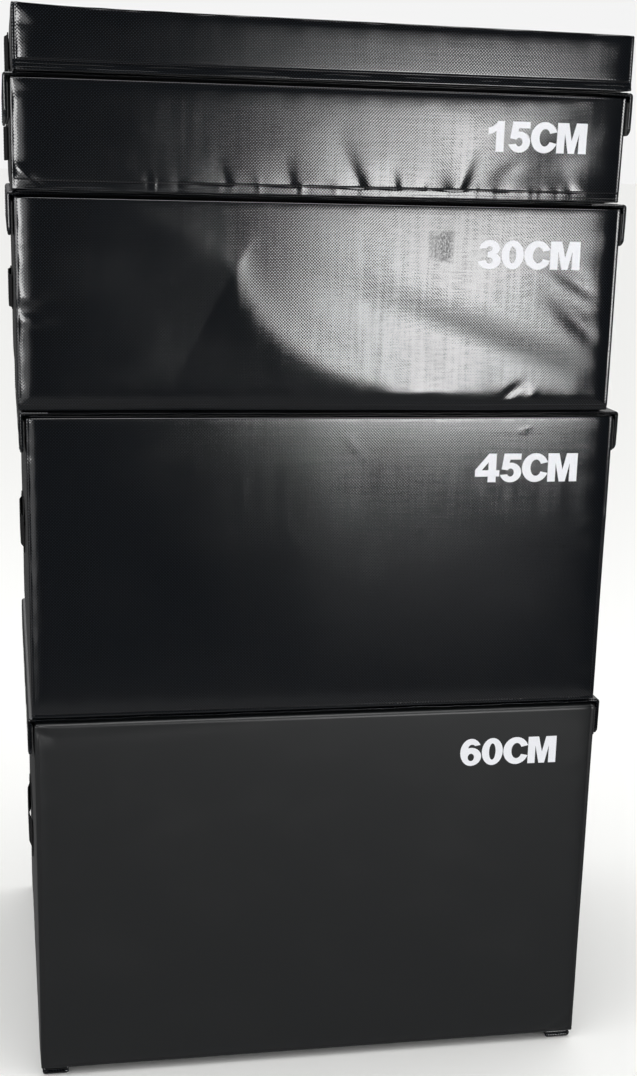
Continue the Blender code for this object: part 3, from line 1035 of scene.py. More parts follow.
# %% [markdown]
# ## Points on a face
# Stitches, letters and strips all lie on the sewn faces. One function gives the surface
# point and its outward direction for a place on any wall, from the same relief as the
# cover, so whatever is laid there follows its swell and its creases.

# %% Points on a wall
WALLS = {
    "front": ((1, 0, 0), (0, -1, 0), front_relief),
    "right": ((0, 1, 0), (1, 0, 0), side_relief),
    "back": ((-1, 0, 0), (0, 1, 0), back_relief),
    "left": ((0, -1, 0), (-1, 0, 0), side_relief),
}


def on_wall(box, wall, p, q, proud=0.0):
    """Points p across and q up a wall, seen from outside, and their outward directions.

    The outward direction comes from the slopes of the relief, by small differences.
    """
    across, outward, relief = WALLS[wall]
    across, outward = np.array(across, float), np.array(outward, float)
    turn = across[0] + across[1]
    out = abs(outward[0]) * box["width"] / 2 + abs(outward[1]) * box["depth"] / 2
    small = 0.0008

    def lift(pp, qq):
        return relief(box, pp * turn, qq)

    slope_p = (lift(p + small, q) - lift(p - small, q)) / (2 * small)
    slope_q = (lift(p, q + small) - lift(p, q - small)) / (2 * small)
    up = np.array([0.0, 0.0, 1.0])
    normal = outward - slope_p[..., None] * across - slope_q[..., None] * up
    normal = normal / np.linalg.norm(normal, axis=-1, keepdims=True)
    centre = np.array([box["x"], box["y"], box["base"]])
    plain = p[..., None] * across + q[..., None] * up + out * outward
    place = pulled(box, plain[..., 0], plain[..., 1], plain[..., 2])
    return raised(box, centre + place + proud * outward), normal


# %% [markdown]
# ## Topstitching
# The seams are held flat by lockstitch in bonded nylon thread, with a stitch about every
# 4 mm. Each stitch is one short bead, thick in the middle and sunk into the cloth at its
# ends. One small bead is worked out once and laid along every seam with array sums, which
# is quicker than hundreds of separate objects and gives one mesh for each row.

# %% Thread and stitches
STITCH_PITCH = 0.0042
STITCH_LENGTH = 0.0032
THREAD_WIDTH = 0.0009


# The default colour is lighter than the black thread, as painted shine
def bonded_thread(name, colour="#2B2729"):
    """Bonded nylon thread: black twisted filament with a low gloss and a slanting twist. Its colour is raised
    to a dark mauve grey, as painted shine on the stitches.
    """
    material, tree, shader = new_material(name)
    slanting = {"bands_direction": "DIAGONAL"}
    twist = add_node(tree, "TexWave", slanting, Vector=own_place(tree), Scale=900.0)
    ridges = bumped(tree, twist.outputs["Fac"], 0.0001)
    set_inputs(
        tree, shader,
        Base_Color=linear(colour), Normal=ridges, Roughness=0.62, Specular_IOR_Level=0.25,
    )
    return material


thread = bonded_thread("bonded_nylon_thread_painted_shine")


def bead():
    """A closed bead along +X: four rings of four points, thick in the middle and thin at the
    ends. It is laid thousands of times, so it has only 14 faces."""
    ends = np.array([-1.0, -0.65, 0.65, 1.0])
    radius = np.array([0.15, 0.95, 0.95, 0.15])
    angle = np.arange(4) * math.pi / 2
    rings = np.stack(
        [
            np.repeat(ends[:, None], 4, 1) * STITCH_LENGTH / 2,
            radius[:, None] * np.cos(angle) * THREAD_WIDTH / 2,
            radius[:, None] * np.sin(angle) * THREAD_WIDTH / 2 * 0.72,
        ],
        axis=-1,
    ).reshape(-1, 3)
    quads = grid_quads(4, 4, close_columns=True)
    caps = np.array([[3, 2, 1, 0], [12, 13, 14, 15]])
    return rings, np.concatenate([quads, caps])


def along_path(points, normals, pitch):
    """Middles, forward and outward directions at even steps along a line of points."""
    steps = np.linalg.norm(np.diff(points, axis=0), axis=1)
    length = np.concatenate([[0], np.cumsum(steps)])
    count = max(int(length[-1] / pitch), 1)
    at = (np.arange(count) + 0.5) * length[-1] / count
    middle = sampled(at, length, points)
    forward = sampled(at + 0.001, length, points) - sampled(at - 0.001, length, points)
    forward /= np.maximum(np.linalg.norm(forward, axis=1, keepdims=True), 1e-9)
    out = sampled(at, length, normals)
    out -= (out * forward).sum(1, keepdims=True) * forward
    out /= np.maximum(np.linalg.norm(out, axis=1, keepdims=True), 1e-9)
    return middle, forward, out


def stitch_rows(name, rows, body):
    """One mesh of beads laid end to end along rows, each given as points and normals."""
    shape, quads = bead()
    placed, faces, count = [], [], 0
    for points, normals in rows:
        middle, forward, out = along_path(points, normals, STITCH_PITCH)
        side = np.cross(out, forward)
        beads = (
            middle[:, None]
            + shape[None, :, 0:1] * forward[:, None]
            + shape[None, :, 1:2] * side[:, None]
            + shape[None, :, 2:3] * out[:, None]
        )
        numbers = count + np.arange(len(middle))[:, None, None] * len(shape) + quads[None]
        placed.append(beads.reshape(-1, 3))
        faces.append(numbers.reshape(-1, 4))
        count += len(middle) * len(shape)
    return make_piece(name, np.concatenate(placed), [np.concatenate(faces)], thread, body)


def straight_row(x, sign, start, end, count=60):
    """A row for straight stitches on a side: points at one x, from start to end, which are
    pairs of y and z, and their outward direction."""
    (y0, z0), (y1, z1) = start, end
    t = np.linspace(0, 1, count)
    row = np.stack([np.full(count, x), y0 + (y1 - y0) * t, z0 + (z1 - z0) * t], 1)
    return row, np.repeat([[sign, 0.0, 0.0]], count, 0)


def seam_rows(box):
    """Lines along the topstitching of the four walls, a seam band in from each edge. The top
    edges of the fronts are sewn from the inside, so no row shows there."""
    rows = []
    for wall in WALLS:
        shape = FRONT_SHAPE[box["name"]] if wall == "front" else PLAIN_SHAPE
        width = box["width"] if wall in ("front", "back") else box["depth"]
        first, last = shape["left"][2] - width / 2, width / 2 - shape["right"][2]
        lower, upper = shape["base"][2], box["height"] - 0.0040
        across = np.linspace(first, last, 300)
        rise = np.linspace(lower, upper, 120)
        lines = [(across, np.full_like(across, lower))]
        lines += [(np.full_like(rise, first), rise), (np.full_like(rise, last), rise)]
        if wall != "front":
            lines.append((across, np.full_like(across, box["height"] - SEAM_BAND)))
        rows += [on_wall(box, wall, p, q, 0.0002) for p, q in lines]
    return rows


seams = {
    name: stitch_rows("topstitching_" + name, seam_rows(box), box["body"])
    for name, box in boxes.items()
}
print("stitches", {name: len(seam.data.polygons) // 14 for name, seam in seams.items()})

# %% [markdown]
# ## Hems between the boxes
# Under each front edge the cut edges of the panels are folded into a hem of several plies.
# Seen from the front they are thin wavy lines in the dark joint between two boxes. Each ply is a narrow
# strip: a flat rounded outline carried along the edge, rising and falling by less than a millimetre. Behind
# the plies a thicker strip of raw, uncoated cloth, the seam allowance, fills the joint. Its dead matt, near
# black colour is painted shade, which keeps the joint dark.

# %% Hem plies
HEM_THICKNESS = 0.0007
HEM_END = 0.006
HEM_STATIONS = 240
HEM_SIDES = 12

# Plies of the front: height above the base at the left and at the right end, how far the
# front rim stands behind the flat plane, and how deep the ply is
FRONT_PLIES = {
    "60": [],
    "45": [(-0.0020, -0.0020, 0.0040, 0.008), (0.4532, 0.4532, 0.0012, 0.006)],
    "30": [(-0.0022, -0.0022, 0.0048, 0.008)],
    "15": [(0.0060, 0.0072, 0.0004, 0.003), (0.0034, 0.0038, 0.0002, 0.003),
           (0.0004, 0.0004, 0.0002, 0.004), (-0.0022, -0.0022, 0.0020, 0.008)],
    "7_5": [(0.0094, 0.0080, 0.0014, 0.003), (0.0052, 0.0016, 0.0006, 0.003),
            (0.0012, -0.0010, 0.0006, 0.006), (-0.0020, -0.0028, 0.0014, 0.008),
            (0.0772, 0.0764, 0.0010, 0.004)],
}
BACK_PLIES = [(-0.0020, -0.0020, 0.0024, 0.008)]
ALLOWANCE = (-0.0026, -0.0026, 0.0120, 0.014)
ALLOWANCE_THICKNESS = 0.0048


def raw_scrim(name):
    """The uncoated back of the cloth, seen where it is folded over. Its dead matt, near black threads are
    painted shade that keeps the joints dark.
    """
    material, tree, shader = new_material(name)
    threads = noise(tree, own_place(tree), 900.0, 3.0)
    set_inputs(
        tree, shader,
        Base_Color=tinted(tree, threads, "#050506", "#0E0E10"),
        Normal=bumped(tree, threads, 0.0002), Roughness=0.95, Specular_IOR_Level=0.05,
    )
    return material


# Near black cloth, as painted shade in the joints between boxes
scrim = raw_scrim("polyester_scrim_painted_shade")


def hem_ply(box, wall, ply, seed, thickness):
    """A ply as a grid: its outline round the columns and its length along the rows.

    Height and depth wander as sums of three cosines. The ends narrow to nothing.
    """
    left, right, back_set, deep = ply
    draw = np.random.default_rng(seed)
    along = np.linspace(-1, 1, HEM_STATIONS)
    reach = box["width"] / 2 - HEM_END
    x = along * reach

    def wander(longest):
        sizes = draw.uniform(0.0001, 0.0003, 3)
        lengths = draw.uniform(0.05, longest, 3)
        starts = draw.uniform(0, 6.3, 3)
        return sum(a * np.cos(2 * math.pi * x / w + s) for a, w, s in zip(sizes, lengths, starts))

    rise, drift = wander(0.30), wander(0.20)
    turn = np.arange(HEM_SIDES) * 2 * math.pi / HEM_SIDES
    outline_y = signed_power(np.cos(turn), 0.5) * deep / 2
    outline_z = signed_power(np.sin(turn), 0.7) * thickness / 2
    narrow = np.sqrt(np.clip((1 - np.abs(along)) * reach / 0.004, 0.0004, 1))
    face = -1 if wall == "front" else 1
    level = box["base"] + left + (right - left) * (along + 1) / 2
    edge = box["y"] + face * (box["depth"] / 2 - back_set - deep / 2)
    y = edge + face * drift[:, None] + outline_y[None] * narrow[:, None]
    z = level[:, None] + rise[:, None] + outline_z[None] * narrow[:, None]
    points = np.stack([np.broadcast_to(box["x"] + x[:, None], y.shape), y, z], axis=-1)
    around = np.arange(HEM_SIDES)
    ends = np.array([around, around[::-1] + (HEM_STATIONS - 1) * HEM_SIDES])
    fans = np.array([[e[0], e[i], e[i + 1]] for e in ends for i in range(1, HEM_SIDES - 1)])
    quads = grid_quads(HEM_STATIONS, HEM_SIDES, close_columns=True)
    return raised(box, points).reshape(-1, 3), quads, fans


def make_hems(box, kind, plies, material, thickness):
    """The plies of one kind, front and back, as one mesh."""
    points, quads, ends, count = [], [], [], 0
    for i, (wall, ply) in enumerate(plies):
        p, f, e = hem_ply(box, wall, ply, 10 * i + int(box["name"][0]), thickness)
        points.append(p)
        quads.append(f + count)
        ends.append(e + count)
        count += len(p)
    uv = np.concatenate(points)[:, :2]
    return make_piece(
        kind + "_" + box["name"], np.concatenate(points),
        [np.concatenate(quads), np.concatenate(ends)], material, box["body"], uv,
    )


hems = {}
for name, box in boxes.items():
    if name == "60":
        continue
    plies = [("front", ply) for ply in FRONT_PLIES[name]] + [("back", ply) for ply in BACK_PLIES]
    hems[name] = make_hems(box, "hem_plies", plies, glossy_vinyl, HEM_THICKNESS)
    folds = [("front", ALLOWANCE), ("back", ALLOWANCE)]
    # The seam allowance in each joint, near black as painted shade
    make_hems(box, "seam_allowance", folds, scrim, ALLOWANCE_THICKNESS)
print("hems", {name: triangles_of(hem) for name, hem in hems.items()})

# %% [markdown]
# ## Height marks
# The height of each box is screen-printed on its front in thick white block letters. The
# letters are drawn as outlines of straight lines and arcs in a cell one unit tall, filled
# as a flat curve, cut into small squares so that they can bend, and draped on the front.
# The ink is a tenth of a millimetre thick.

# %% Outlines of the block letters


def arc(centre, radii, start, stop, steps=14):
    """Points along an ellipse: the centre plus the radii times cosine and sine of the angle."""
    angle = np.radians(np.linspace(start, stop, steps))
    return list(zip(centre[0] + radii[0] * np.cos(angle), centre[1] + radii[1] * np.sin(angle)))


GLYPHS = {
    "0": (0.80, [arc((0.40, 0.50), (0.40, 0.51), 0, 348, 30), arc((0.40, 0.50), (0.125, 0.31), 0, 348, 24)]),
    "1": (0.70, [[(0.28, 0.0), (0.56, 0.0), (0.56, 1.0), (0.33, 1.0), (0.26, 0.90), (0.14, 0.82), (0.0, 0.77),
                  (0.0, 0.56), (0.15, 0.60), (0.28, 0.68)]]),
    "3": (0.80, [
        [(0.02, 0.70)] + arc((0.39, 0.73), (0.36, 0.28), 168, -38) + [(0.58, 0.52)]
        + arc((0.39, 0.29), (0.41, 0.30), 52, -172, 18) + [(0.27, 0.30)]
        + arc((0.39, 0.29), (0.125, 0.115), 180, 440) + [(0.31, 0.41), (0.33, 0.60)]
        + arc((0.39, 0.71), (0.105, 0.095), -80, 165)
    ]),
    "4": (0.88, [
        [(0.47, 0.0), (0.76, 0.0), (0.76, 0.20), (0.88, 0.20), (0.88, 0.42), (0.76, 0.42),
         (0.76, 1.0), (0.49, 1.0), (0.0, 0.43), (0.0, 0.20), (0.47, 0.20)],
        [(0.48, 0.42), (0.48, 0.71), (0.24, 0.42)],
    ]),
    "5": (0.78, [
        [(0.14, 1.0), (0.06, 0.45), (0.29, 0.42)] + arc((0.385, 0.335), (0.125, 0.145), 145, -145)
        + [(0.28, 0.27), (0.0, 0.25)] + arc((0.39, 0.335), (0.39, 0.345), 197, 470, 20)
        + [(0.335, 0.66), (0.36, 0.79), (0.76, 0.79), (0.76, 1.0)]
    ]),
    "6": (0.80, [
        arc((0.41, 0.50), (0.41, 0.51), 32, 270, 20) + arc((0.41, 0.33), (0.39, 0.34), -85, 108, 16)
        + [(0.285, 0.64)] + arc((0.44, 0.66), (0.14, 0.13), 175, 35, 8),
        arc((0.41, 0.31), (0.12, 0.14), 0, 345, 20),
    ]),
    "C": (0.93, [
        arc((0.49, 0.50), (0.49, 0.51), 22, 338, 30) + arc((0.51, 0.50), (0.20, 0.29), -28, -332, 22)
    ]),
    "M": (1.08, [[(0.0, 0.0), (0.0, 1.0), (0.40, 1.0), (0.54, 0.42), (0.68, 1.0), (1.08, 1.0), (1.08, 0.0),
                  (0.80, 0.0), (0.80, 0.66), (0.65, 0.0), (0.43, 0.0), (0.28, 0.66), (0.28, 0.0)]]),
}
LETTER_GAP = 0.02

# For each mark: its left end and its width, its lowest point and its height, in metres
MARKS = {
    "15": ("15CM", 0.2232, 0.149, 1.4270, 0.042),
    "30": ("30CM", 0.2172, 0.154, 1.2630, 0.040),
    "45": ("45CM", 0.2282, 0.160, 0.9480, 0.043),
    "60": ("60CM", 0.2272, 0.157, 0.4950, 0.044),
}
INK_THICKNESS = 0.00012
DRAPE_CELL = 0.004

# %% [markdown]
# ## Printed letters
# The filled letters are laid on the front twice, a tenth of a millimetre apart, and joined
# by a rim. That gives the ink two sides and an edge, as real ink has, where a single sheet
# would have no thickness at all.

# %% Printed letters


def white_ink(name):
    """Screen-printed plastisol: matt white with the hump of each crossing just showing."""
    material, tree, shader = new_material(name)
    specks = noise(tree, own_place(tree), 700.0, 3.0)
    weave = bumped(tree, upright_checker(tree, WEAVE_MM), 0.00004)
    tint = tinted(tree, specks, "#DDDEE4", "#F1F2F6")
    set_inputs(tree, shader, Base_Color=tint, Normal=weave, Roughness=0.55)
    return material


ink = white_ink("plastisol_ink_white")


def flat_letters(text):
    """The text as one filled flat mesh, a unit tall, and its width in units."""
    curve = bpy.data.curves.new("letters", "CURVE")
    curve.dimensions = "2D"
    curve.fill_mode = "BOTH"
    left = 0.0
    for sign in text:
        width, outlines = GLYPHS[sign]
        for outline in outlines:
            spline = curve.splines.new("POLY")
            spline.points.add(len(outline) - 1)
            corners = np.array([(left + x, y, 0.0, 1.0) for x, y in outline], np.float32)
            spline.points.foreach_set("co", corners.reshape(-1))
            spline.use_cyclic_u = True
        left += width + LETTER_GAP
    maker = bpy.data.objects.new("letters", curve)
    bpy.context.scene.collection.objects.link(maker)
    bpy.context.view_layer.update()
    mesh = bpy.data.meshes.new_from_object(maker.evaluated_get(bpy.context.evaluated_depsgraph_get()))
    bpy.data.objects.remove(maker, do_unlink=True)
    return mesh, left - LETTER_GAP


def make_mark(box):
    """Fill the outlines, slice them on a square net, then lay each point on the front face."""
    text, left, width, low, height = MARKS[box["name"]]
    mesh, units = flat_letters(text)
    shape = bmesh.new()
    shape.from_mesh(mesh)
    bpy.data.meshes.remove(mesh)
    bmesh.ops.remove_doubles(shape, verts=shape.verts, dist=1e-5)
    for axis, size, extent in ((0, width, units), (1, height, 1.0)):
        for share in np.arange(DRAPE_CELL, size, DRAPE_CELL) / size * extent:
            place = [0.0, 0.0, 0.0]
            direction = [0.0, 0.0, 0.0]
            place[axis] = share
            direction[axis] = 1.0
            everything = shape.verts[:] + shape.edges[:] + shape.faces[:]
            bmesh.ops.bisect_plane(shape, geom=everything, plane_co=place, plane_no=direction)
    bmesh.ops.triangulate(shape, faces=shape.faces)
    shape.verts.index_update()
    flat = np.array([v.co[:2] for v in shape.verts])
    faces = np.array([[v.index for v in f.verts] for f in shape.faces])
    shape.free()
    p = left + flat[:, 0] / units * width - box["x"]
    q = low + flat[:, 1] * height - box["base"]
    lower, normals = on_wall(box, "front", p, q, 0.00003)
    upper = lower + normals * INK_THICKNESS
    a, b, c = (flat[faces[:, k]] for k in range(3))
    turned = (b[:, 0] - a[:, 0]) * (c[:, 1] - a[:, 1]) - (b[:, 1] - a[:, 1]) * (c[:, 0] - a[:, 0]) < 0
    faces[turned] = faces[turned][:, ::-1]
    count = len(flat)
    edges = np.concatenate([faces[:, [0, 1]], faces[:, [1, 2]], faces[:, [2, 0]]])
    key = np.sort(edges, axis=1)
    _, index, times = np.unique(key, axis=0, return_index=True, return_counts=True)
    rim = edges[index[times == 1]]
    walls = np.stack([rim[:, 1], rim[:, 0], rim[:, 0] + count, rim[:, 1] + count], axis=1)
    sheets = np.concatenate([faces + count, faces[:, ::-1]])
    mark = make_piece(
        "height_mark_" + box["name"], np.concatenate([lower, upper]), [sheets, walls[:, ::-1]], ink,
        box["body"],
    )
    mark.data.set_sharp_from_angle(angle=math.radians(40))
    return mark


marks = {name: make_mark(boxes[name]) for name in MARKS}
print("marks", {name: triangles_of(mark) for name, mark in marks.items()})

# %% [markdown]
# ## Flaps
# A strip of the same cloth, doubled over a stiffener, is sewn flat under each long side of
# a box. Its free part hangs down over the box below and closes there with hook tape, so
# that the stack can't slide apart. The bottom box has its strips folded back underneath.
# A flap is a thin solid: a line in the plane of X and Z is thickened to both sides and carried from the front
# of the box to the back. The line turns round soft corners, so the cloth goes smoothly from the base along
# the box into the leg.

# %% Flap surface
FLAP_HALF = 0.0024
FLAP_BEND = 0.0032
FLAP_CORNER = 0.011
FLAP_END_ROUND = 0.0010


def bent_line(corners, bend, step=0.0035):
    """Points along a line of straight stretches with round corners, and how far along the
    line each one lies."""
    corners = np.array(corners, float)
    points = [corners[0]]
    for i in range(1, len(corners) - 1):
        before = corners[i - 1] - corners[i]
        after = corners[i + 1] - corners[i]
        before /= np.linalg.norm(before)
        after /= np.linalg.norm(after)
        t = np.linspace(0, 1, 9)[:, None]
        start, end = corners[i] + before * bend, corners[i] + after * bend
        points += list((1 - t) ** 2 * start + 2 * t * (1 - t) * corners[i] + t**2 * end)
    points.append(corners[-1])
    points = np.array(points)
    lengths = np.concatenate([[0], np.cumsum(np.linalg.norm(np.diff(points, axis=0), axis=1))])
    keep = np.concatenate([[True], np.diff(lengths) > 1e-7])
    points, lengths = points[keep], lengths[keep]
    inner = np.arange(step, lengths[-1] - step / 2, step)
    near = np.array([0.0, 0.0003, 0.0009, 0.0018, 0.0026])
    at = np.unique(np.concatenate([near, inner, lengths[-1] - near, lengths]))
    at = at[np.concatenate([[True], np.diff(at) > 1e-5])]
    return sampled(at, lengths, points), at


def strip_solid(line, at, half, low_y, high_y, corner, fixed, wave=0.0, seed=1):
    """A strip with rounded rims: both sides of a line, at a half thickness that falls to
    nothing as a quarter ellipse at its ends, carried along Y.

    Past the length `fixed`, the strip is shortened near its front and back ends by a circle,
    which rounds its free corners. wave lifts the free edge in slow ripples.
    """
    y = low_y + stations(high_y - low_y, 0.0009, 0.012, 0.012)
    ends = np.minimum(y - low_y, high_y - y)
    total = at[-1]
    cut = corner - np.sqrt(np.maximum(corner**2 - np.maximum(corner - ends, 0) ** 2, 0))
    beyond = (at[None] - fixed) * (total - cut[:, None] - fixed) / (total - fixed)
    reach = np.where(at[None] > fixed, fixed + beyond, at[None])
    places = sampled(reach, at, line)
    ahead = sampled(np.clip(reach + 0.0008, 0, total), at, line)
    behind = sampled(np.clip(reach - 0.0008, 0, total), at, line)
    forward = ahead - behind
    forward /= np.linalg.norm(forward, axis=-1, keepdims=True)
    normal = np.stack([-forward[..., 1], forward[..., 0]], -1)
    tip = np.minimum(at, total - at)
    taper = rounded_rim(np.clip(tip / half, 0, 1))
    rim = rounded_rim(np.clip(ends / FLAP_END_ROUND, 0, 1))
    thick = half * np.maximum(taper[None] * rim[:, None], 0.02)
    draw = np.random.default_rng(seed)
    ripple = 0
    for _ in range(3):
        length, start = draw.uniform(0.09, 0.35), draw.uniform(0, 6.3)
        ripple = ripple + np.cos(2 * math.pi * y / length + start)
    ripple = ripple / 3
    lift = wave * (1 + ripple[:, None]) / 2 * np.clip((reach - fixed) / (total - fixed), 0, 1) ** 2
    middle = places + normal * lift[..., None]
    outer = middle + normal * thick[..., None]
    inner = middle - normal * thick[..., None]
    loop = np.concatenate([outer, inner[:, ::-1]], axis=1)
    rows, columns = loop.shape[:2]
    depths = np.broadcast_to(y[:, None], (rows, columns))
    points = np.stack([loop[..., 0], depths, loop[..., 1]], -1)
    uv = np.stack([depths, np.concatenate([reach, reach[:, ::-1]], 1)], -1)
    return points.reshape(-1, 3), capped_quads(rows, columns), uv.reshape(-1, 2)


# %% [markdown]
# ## Hook tape and flap stitching
# The flap is one piece, blended from its base to its leg, because real cloth has no break at
# the fold. The hook tape and the stitching lie on the leg alone, so they simply ride on it.
# The tape is sewn to the inner side, where it meets the loop strip of the box below, and one
# row of stitches runs round the outer side.

# %% Flaps, hook tape and their stitching
HOOK_HEIGHT = 0.040
HOOK_THICKNESS = 0.0009
HOOK_ABOVE_EDGE = 0.008
FLAP_STITCH_INSET = 0.0055
# The leg hangs this far outside its hinge, and the tape lies this far off the leg
LEG_SHIFT = 0.0004
TAPE_GAP = 0.00005


def hook_tape(name, colour, pitch_mm, relief):
    """Woven nylon tape with a nap of hooks or loops: dead matt, with a bed of small humps."""
    material, tree, shader = new_material(name)
    place = own_place(tree)
    nap = add_node(tree, "TexVoronoi", None, Vector=place, Scale=1000.0 / pitch_mm)
    fuzz = noise(tree, place, 1600.0, 4.0)
    height = calculate(tree, "ADD", nap.outputs["Distance"], fuzz)
    set_inputs(
        tree, shader,
        Base_Color=tinted(tree, fuzz, colour, "#232325"),
        Normal=bumped(tree, height, relief), Roughness=0.85, Sheen_Weight=0.25,
    )
    return material


hooks = hook_tape("nylon_hook_tape", "#0C0C0D", 1.6, 0.0009)
loops = hook_tape("nylon_loop_pile", "#101011", 2.4, 0.0014)


def make_flap(box, side, sign):
    """One flap from the sewn base to its free edge, bent across its joint."""
    name = side + "_" + box["name"]
    base_low, base_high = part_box("flap_base_" + name)
    leg_low, leg_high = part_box("flap_" + name)
    level = (base_low.z + base_high.z) / 2
    inner = base_low.x if sign > 0 else base_high.x
    folded_under = box["name"] == "60"
    half = (leg_high.z - leg_low.z) / 2 if folded_under else FLAP_HALF
    if folded_under:
        outer = (leg_high.x if sign > 0 else leg_low.x) - sign * half
        under = (leg_low.z + leg_high.z) / 2
        corners = [(inner, level), (outer, level), (outer, under), (inner, under)]
        line, at = bent_line(corners, (level - under) / 2)
    else:
        hinge = (leg_low.x + leg_high.x) / 2
        outer = hinge + sign * LEG_SHIFT
        corners = [(inner, level), (outer, level), (outer, leg_low.z)]
        line, at = bent_line(corners, FLAP_BEND)
    fixed = abs(outer - inner) + 0.008
    points, quads, uv = strip_solid(
        line, at, half, leg_low.y, leg_high.y, 0.004 if folded_under else FLAP_CORNER, fixed,
        0.0 if folded_under else 0.0011 * -sign, int(box["name"][0]) + sign,
    )
    flap = make_piece("side_flap_" + name, points, [quads], glossy_vinyl, None, uv)
    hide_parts("flap_base_" + name, "flap_" + name)
    if folded_under:
        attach(flap, box["body"])
        return flap, None
    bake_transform(flap)
    return flap, (hinge, leg_low, leg_high)


def make_flap_trim(box, side, sign, hinge, leg_low, leg_high):
    """Hook tape on the inner side of the leg, and stitching round its outer side."""
    name = side + "_" + box["name"]
    bottom = leg_low.z + HOOK_ABOVE_EDGE
    inner = hinge + sign * (LEG_SHIFT - FLAP_HALF - HOOK_THICKNESS / 2 - TAPE_GAP)
    line, at = bent_line([(inner, bottom + HOOK_HEIGHT), (inner, bottom)], 0.0)
    points, quads, uv = strip_solid(
        line, at, HOOK_THICKNESS / 2, leg_low.y + 0.008, leg_high.y - 0.008, 0.003, HOOK_HEIGHT / 2
    )
    make_piece("hook_tape_" + name, points, [quads], hooks, "flap_" + name, uv)
    out_x = hinge + sign * (LEG_SHIFT + FLAP_HALF)
    near, far = leg_low.y + FLAP_STITCH_INSET, leg_high.y - FLAP_STITCH_INSET
    low, high = leg_low.z + FLAP_STITCH_INSET, leg_low.z + HOOK_ABOVE_EDGE + HOOK_HEIGHT
    corners = [(near, high), (near, low), (far, low), (far, high), (near, high)]
    rows = [straight_row(out_x, sign, *line) for line in zip(corners, corners[1:])]
    stitch_rows("flap_stitching_" + name, rows, "flap_" + name)


SIDES = (("left", -1), ("right", 1))
flap_count = 0
for box in boxes.values():
    for side, sign in SIDES:
        flap, hinge_place = make_flap(box, side, sign)
        flap_count += 1
        if hinge_place:
            make_flap_trim(box, side, sign, *hinge_place)
print("flaps", flap_count, "triangles in the last", triangles_of(flap))

# %% [markdown]
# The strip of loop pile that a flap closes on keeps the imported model's shape, which is a
# plain woven tape with a rounded rim. It only needs its nap, and a row of stitches.

# %% Loop strips
for box in boxes.values():
    for side, sign in SIDES:
        name = side + "_" + box["name"]
        if "loop_strip_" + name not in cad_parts:
            continue
        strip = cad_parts["loop_strip_" + name]
        strip.data.materials.clear()
        strip.data.materials.append(loops)
        low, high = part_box("loop_strip_" + name)
        out_x = (high.x if sign > 0 else low.x) - sign * 0.0001
        corners = [(low.y + 0.003, low.z + 0.003), (high.y - 0.003, low.z + 0.003),
                   (high.y - 0.003, high.z - 0.003), (low.y + 0.003, high.z - 0.003)]
        lines = zip(corners, corners[1:] + corners[:1])
        rows = [straight_row(out_x, sign, *line) for line in lines]
        stitch_rows("loop_stitching_" + name, rows, box["body"])
print("loop strips", len([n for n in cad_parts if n.startswith("loop_strip")]))

# %% [markdown]
# ## Handles
# Each side has a carrying handle of polypropylene webbing, 50 mm wide, sewn down at both
# ends with a square and a cross of stitches, and bowed out between them to let a hand in.
# Webbing is woven with ribs along its length. The ribs are part of the mesh: the half
# thickness is a cosine across the width.

# %% Webbing
HANDLE_SEWN_END = 0.035
HANDLE_RISE = 0.040
RIB_PITCH = 0.0050
RIB_DEPTH = 0.00022


def webbing_weave(name):
    """Polypropylene webbing: coarse flat yarns in a plain weave, dry and nearly matt."""
    material, tree, shader = new_material(name)
    cloth = add_node(tree, "UVMap", {"uv_map": "cloth"}).outputs[0]
    fuzz = noise(tree, cloth, 900.0, 4.0)
    set_inputs(
        tree, shader,
        Base_Color=tinted(tree, fuzz, "#0A0A0B", "#1B1B1D"),
        Normal=bumped(tree, checker(tree, cloth, 1.7), 0.00025),
        Roughness=0.85, Specular_IOR_Level=0.15,
    )
    return material


webbing = webbing_weave("polypropylene_webbing")


def handle_offset(distance, half_length, low, high):
    """Gap to the wall: low at the sewn end, rising to high in half a cosine."""
    share = np.clip((half_length - HANDLE_SEWN_END - np.abs(distance)) / HANDLE_RISE, 0, 1)
    return low + (high - low) * (0.5 - 0.5 * np.cos(math.pi * share))


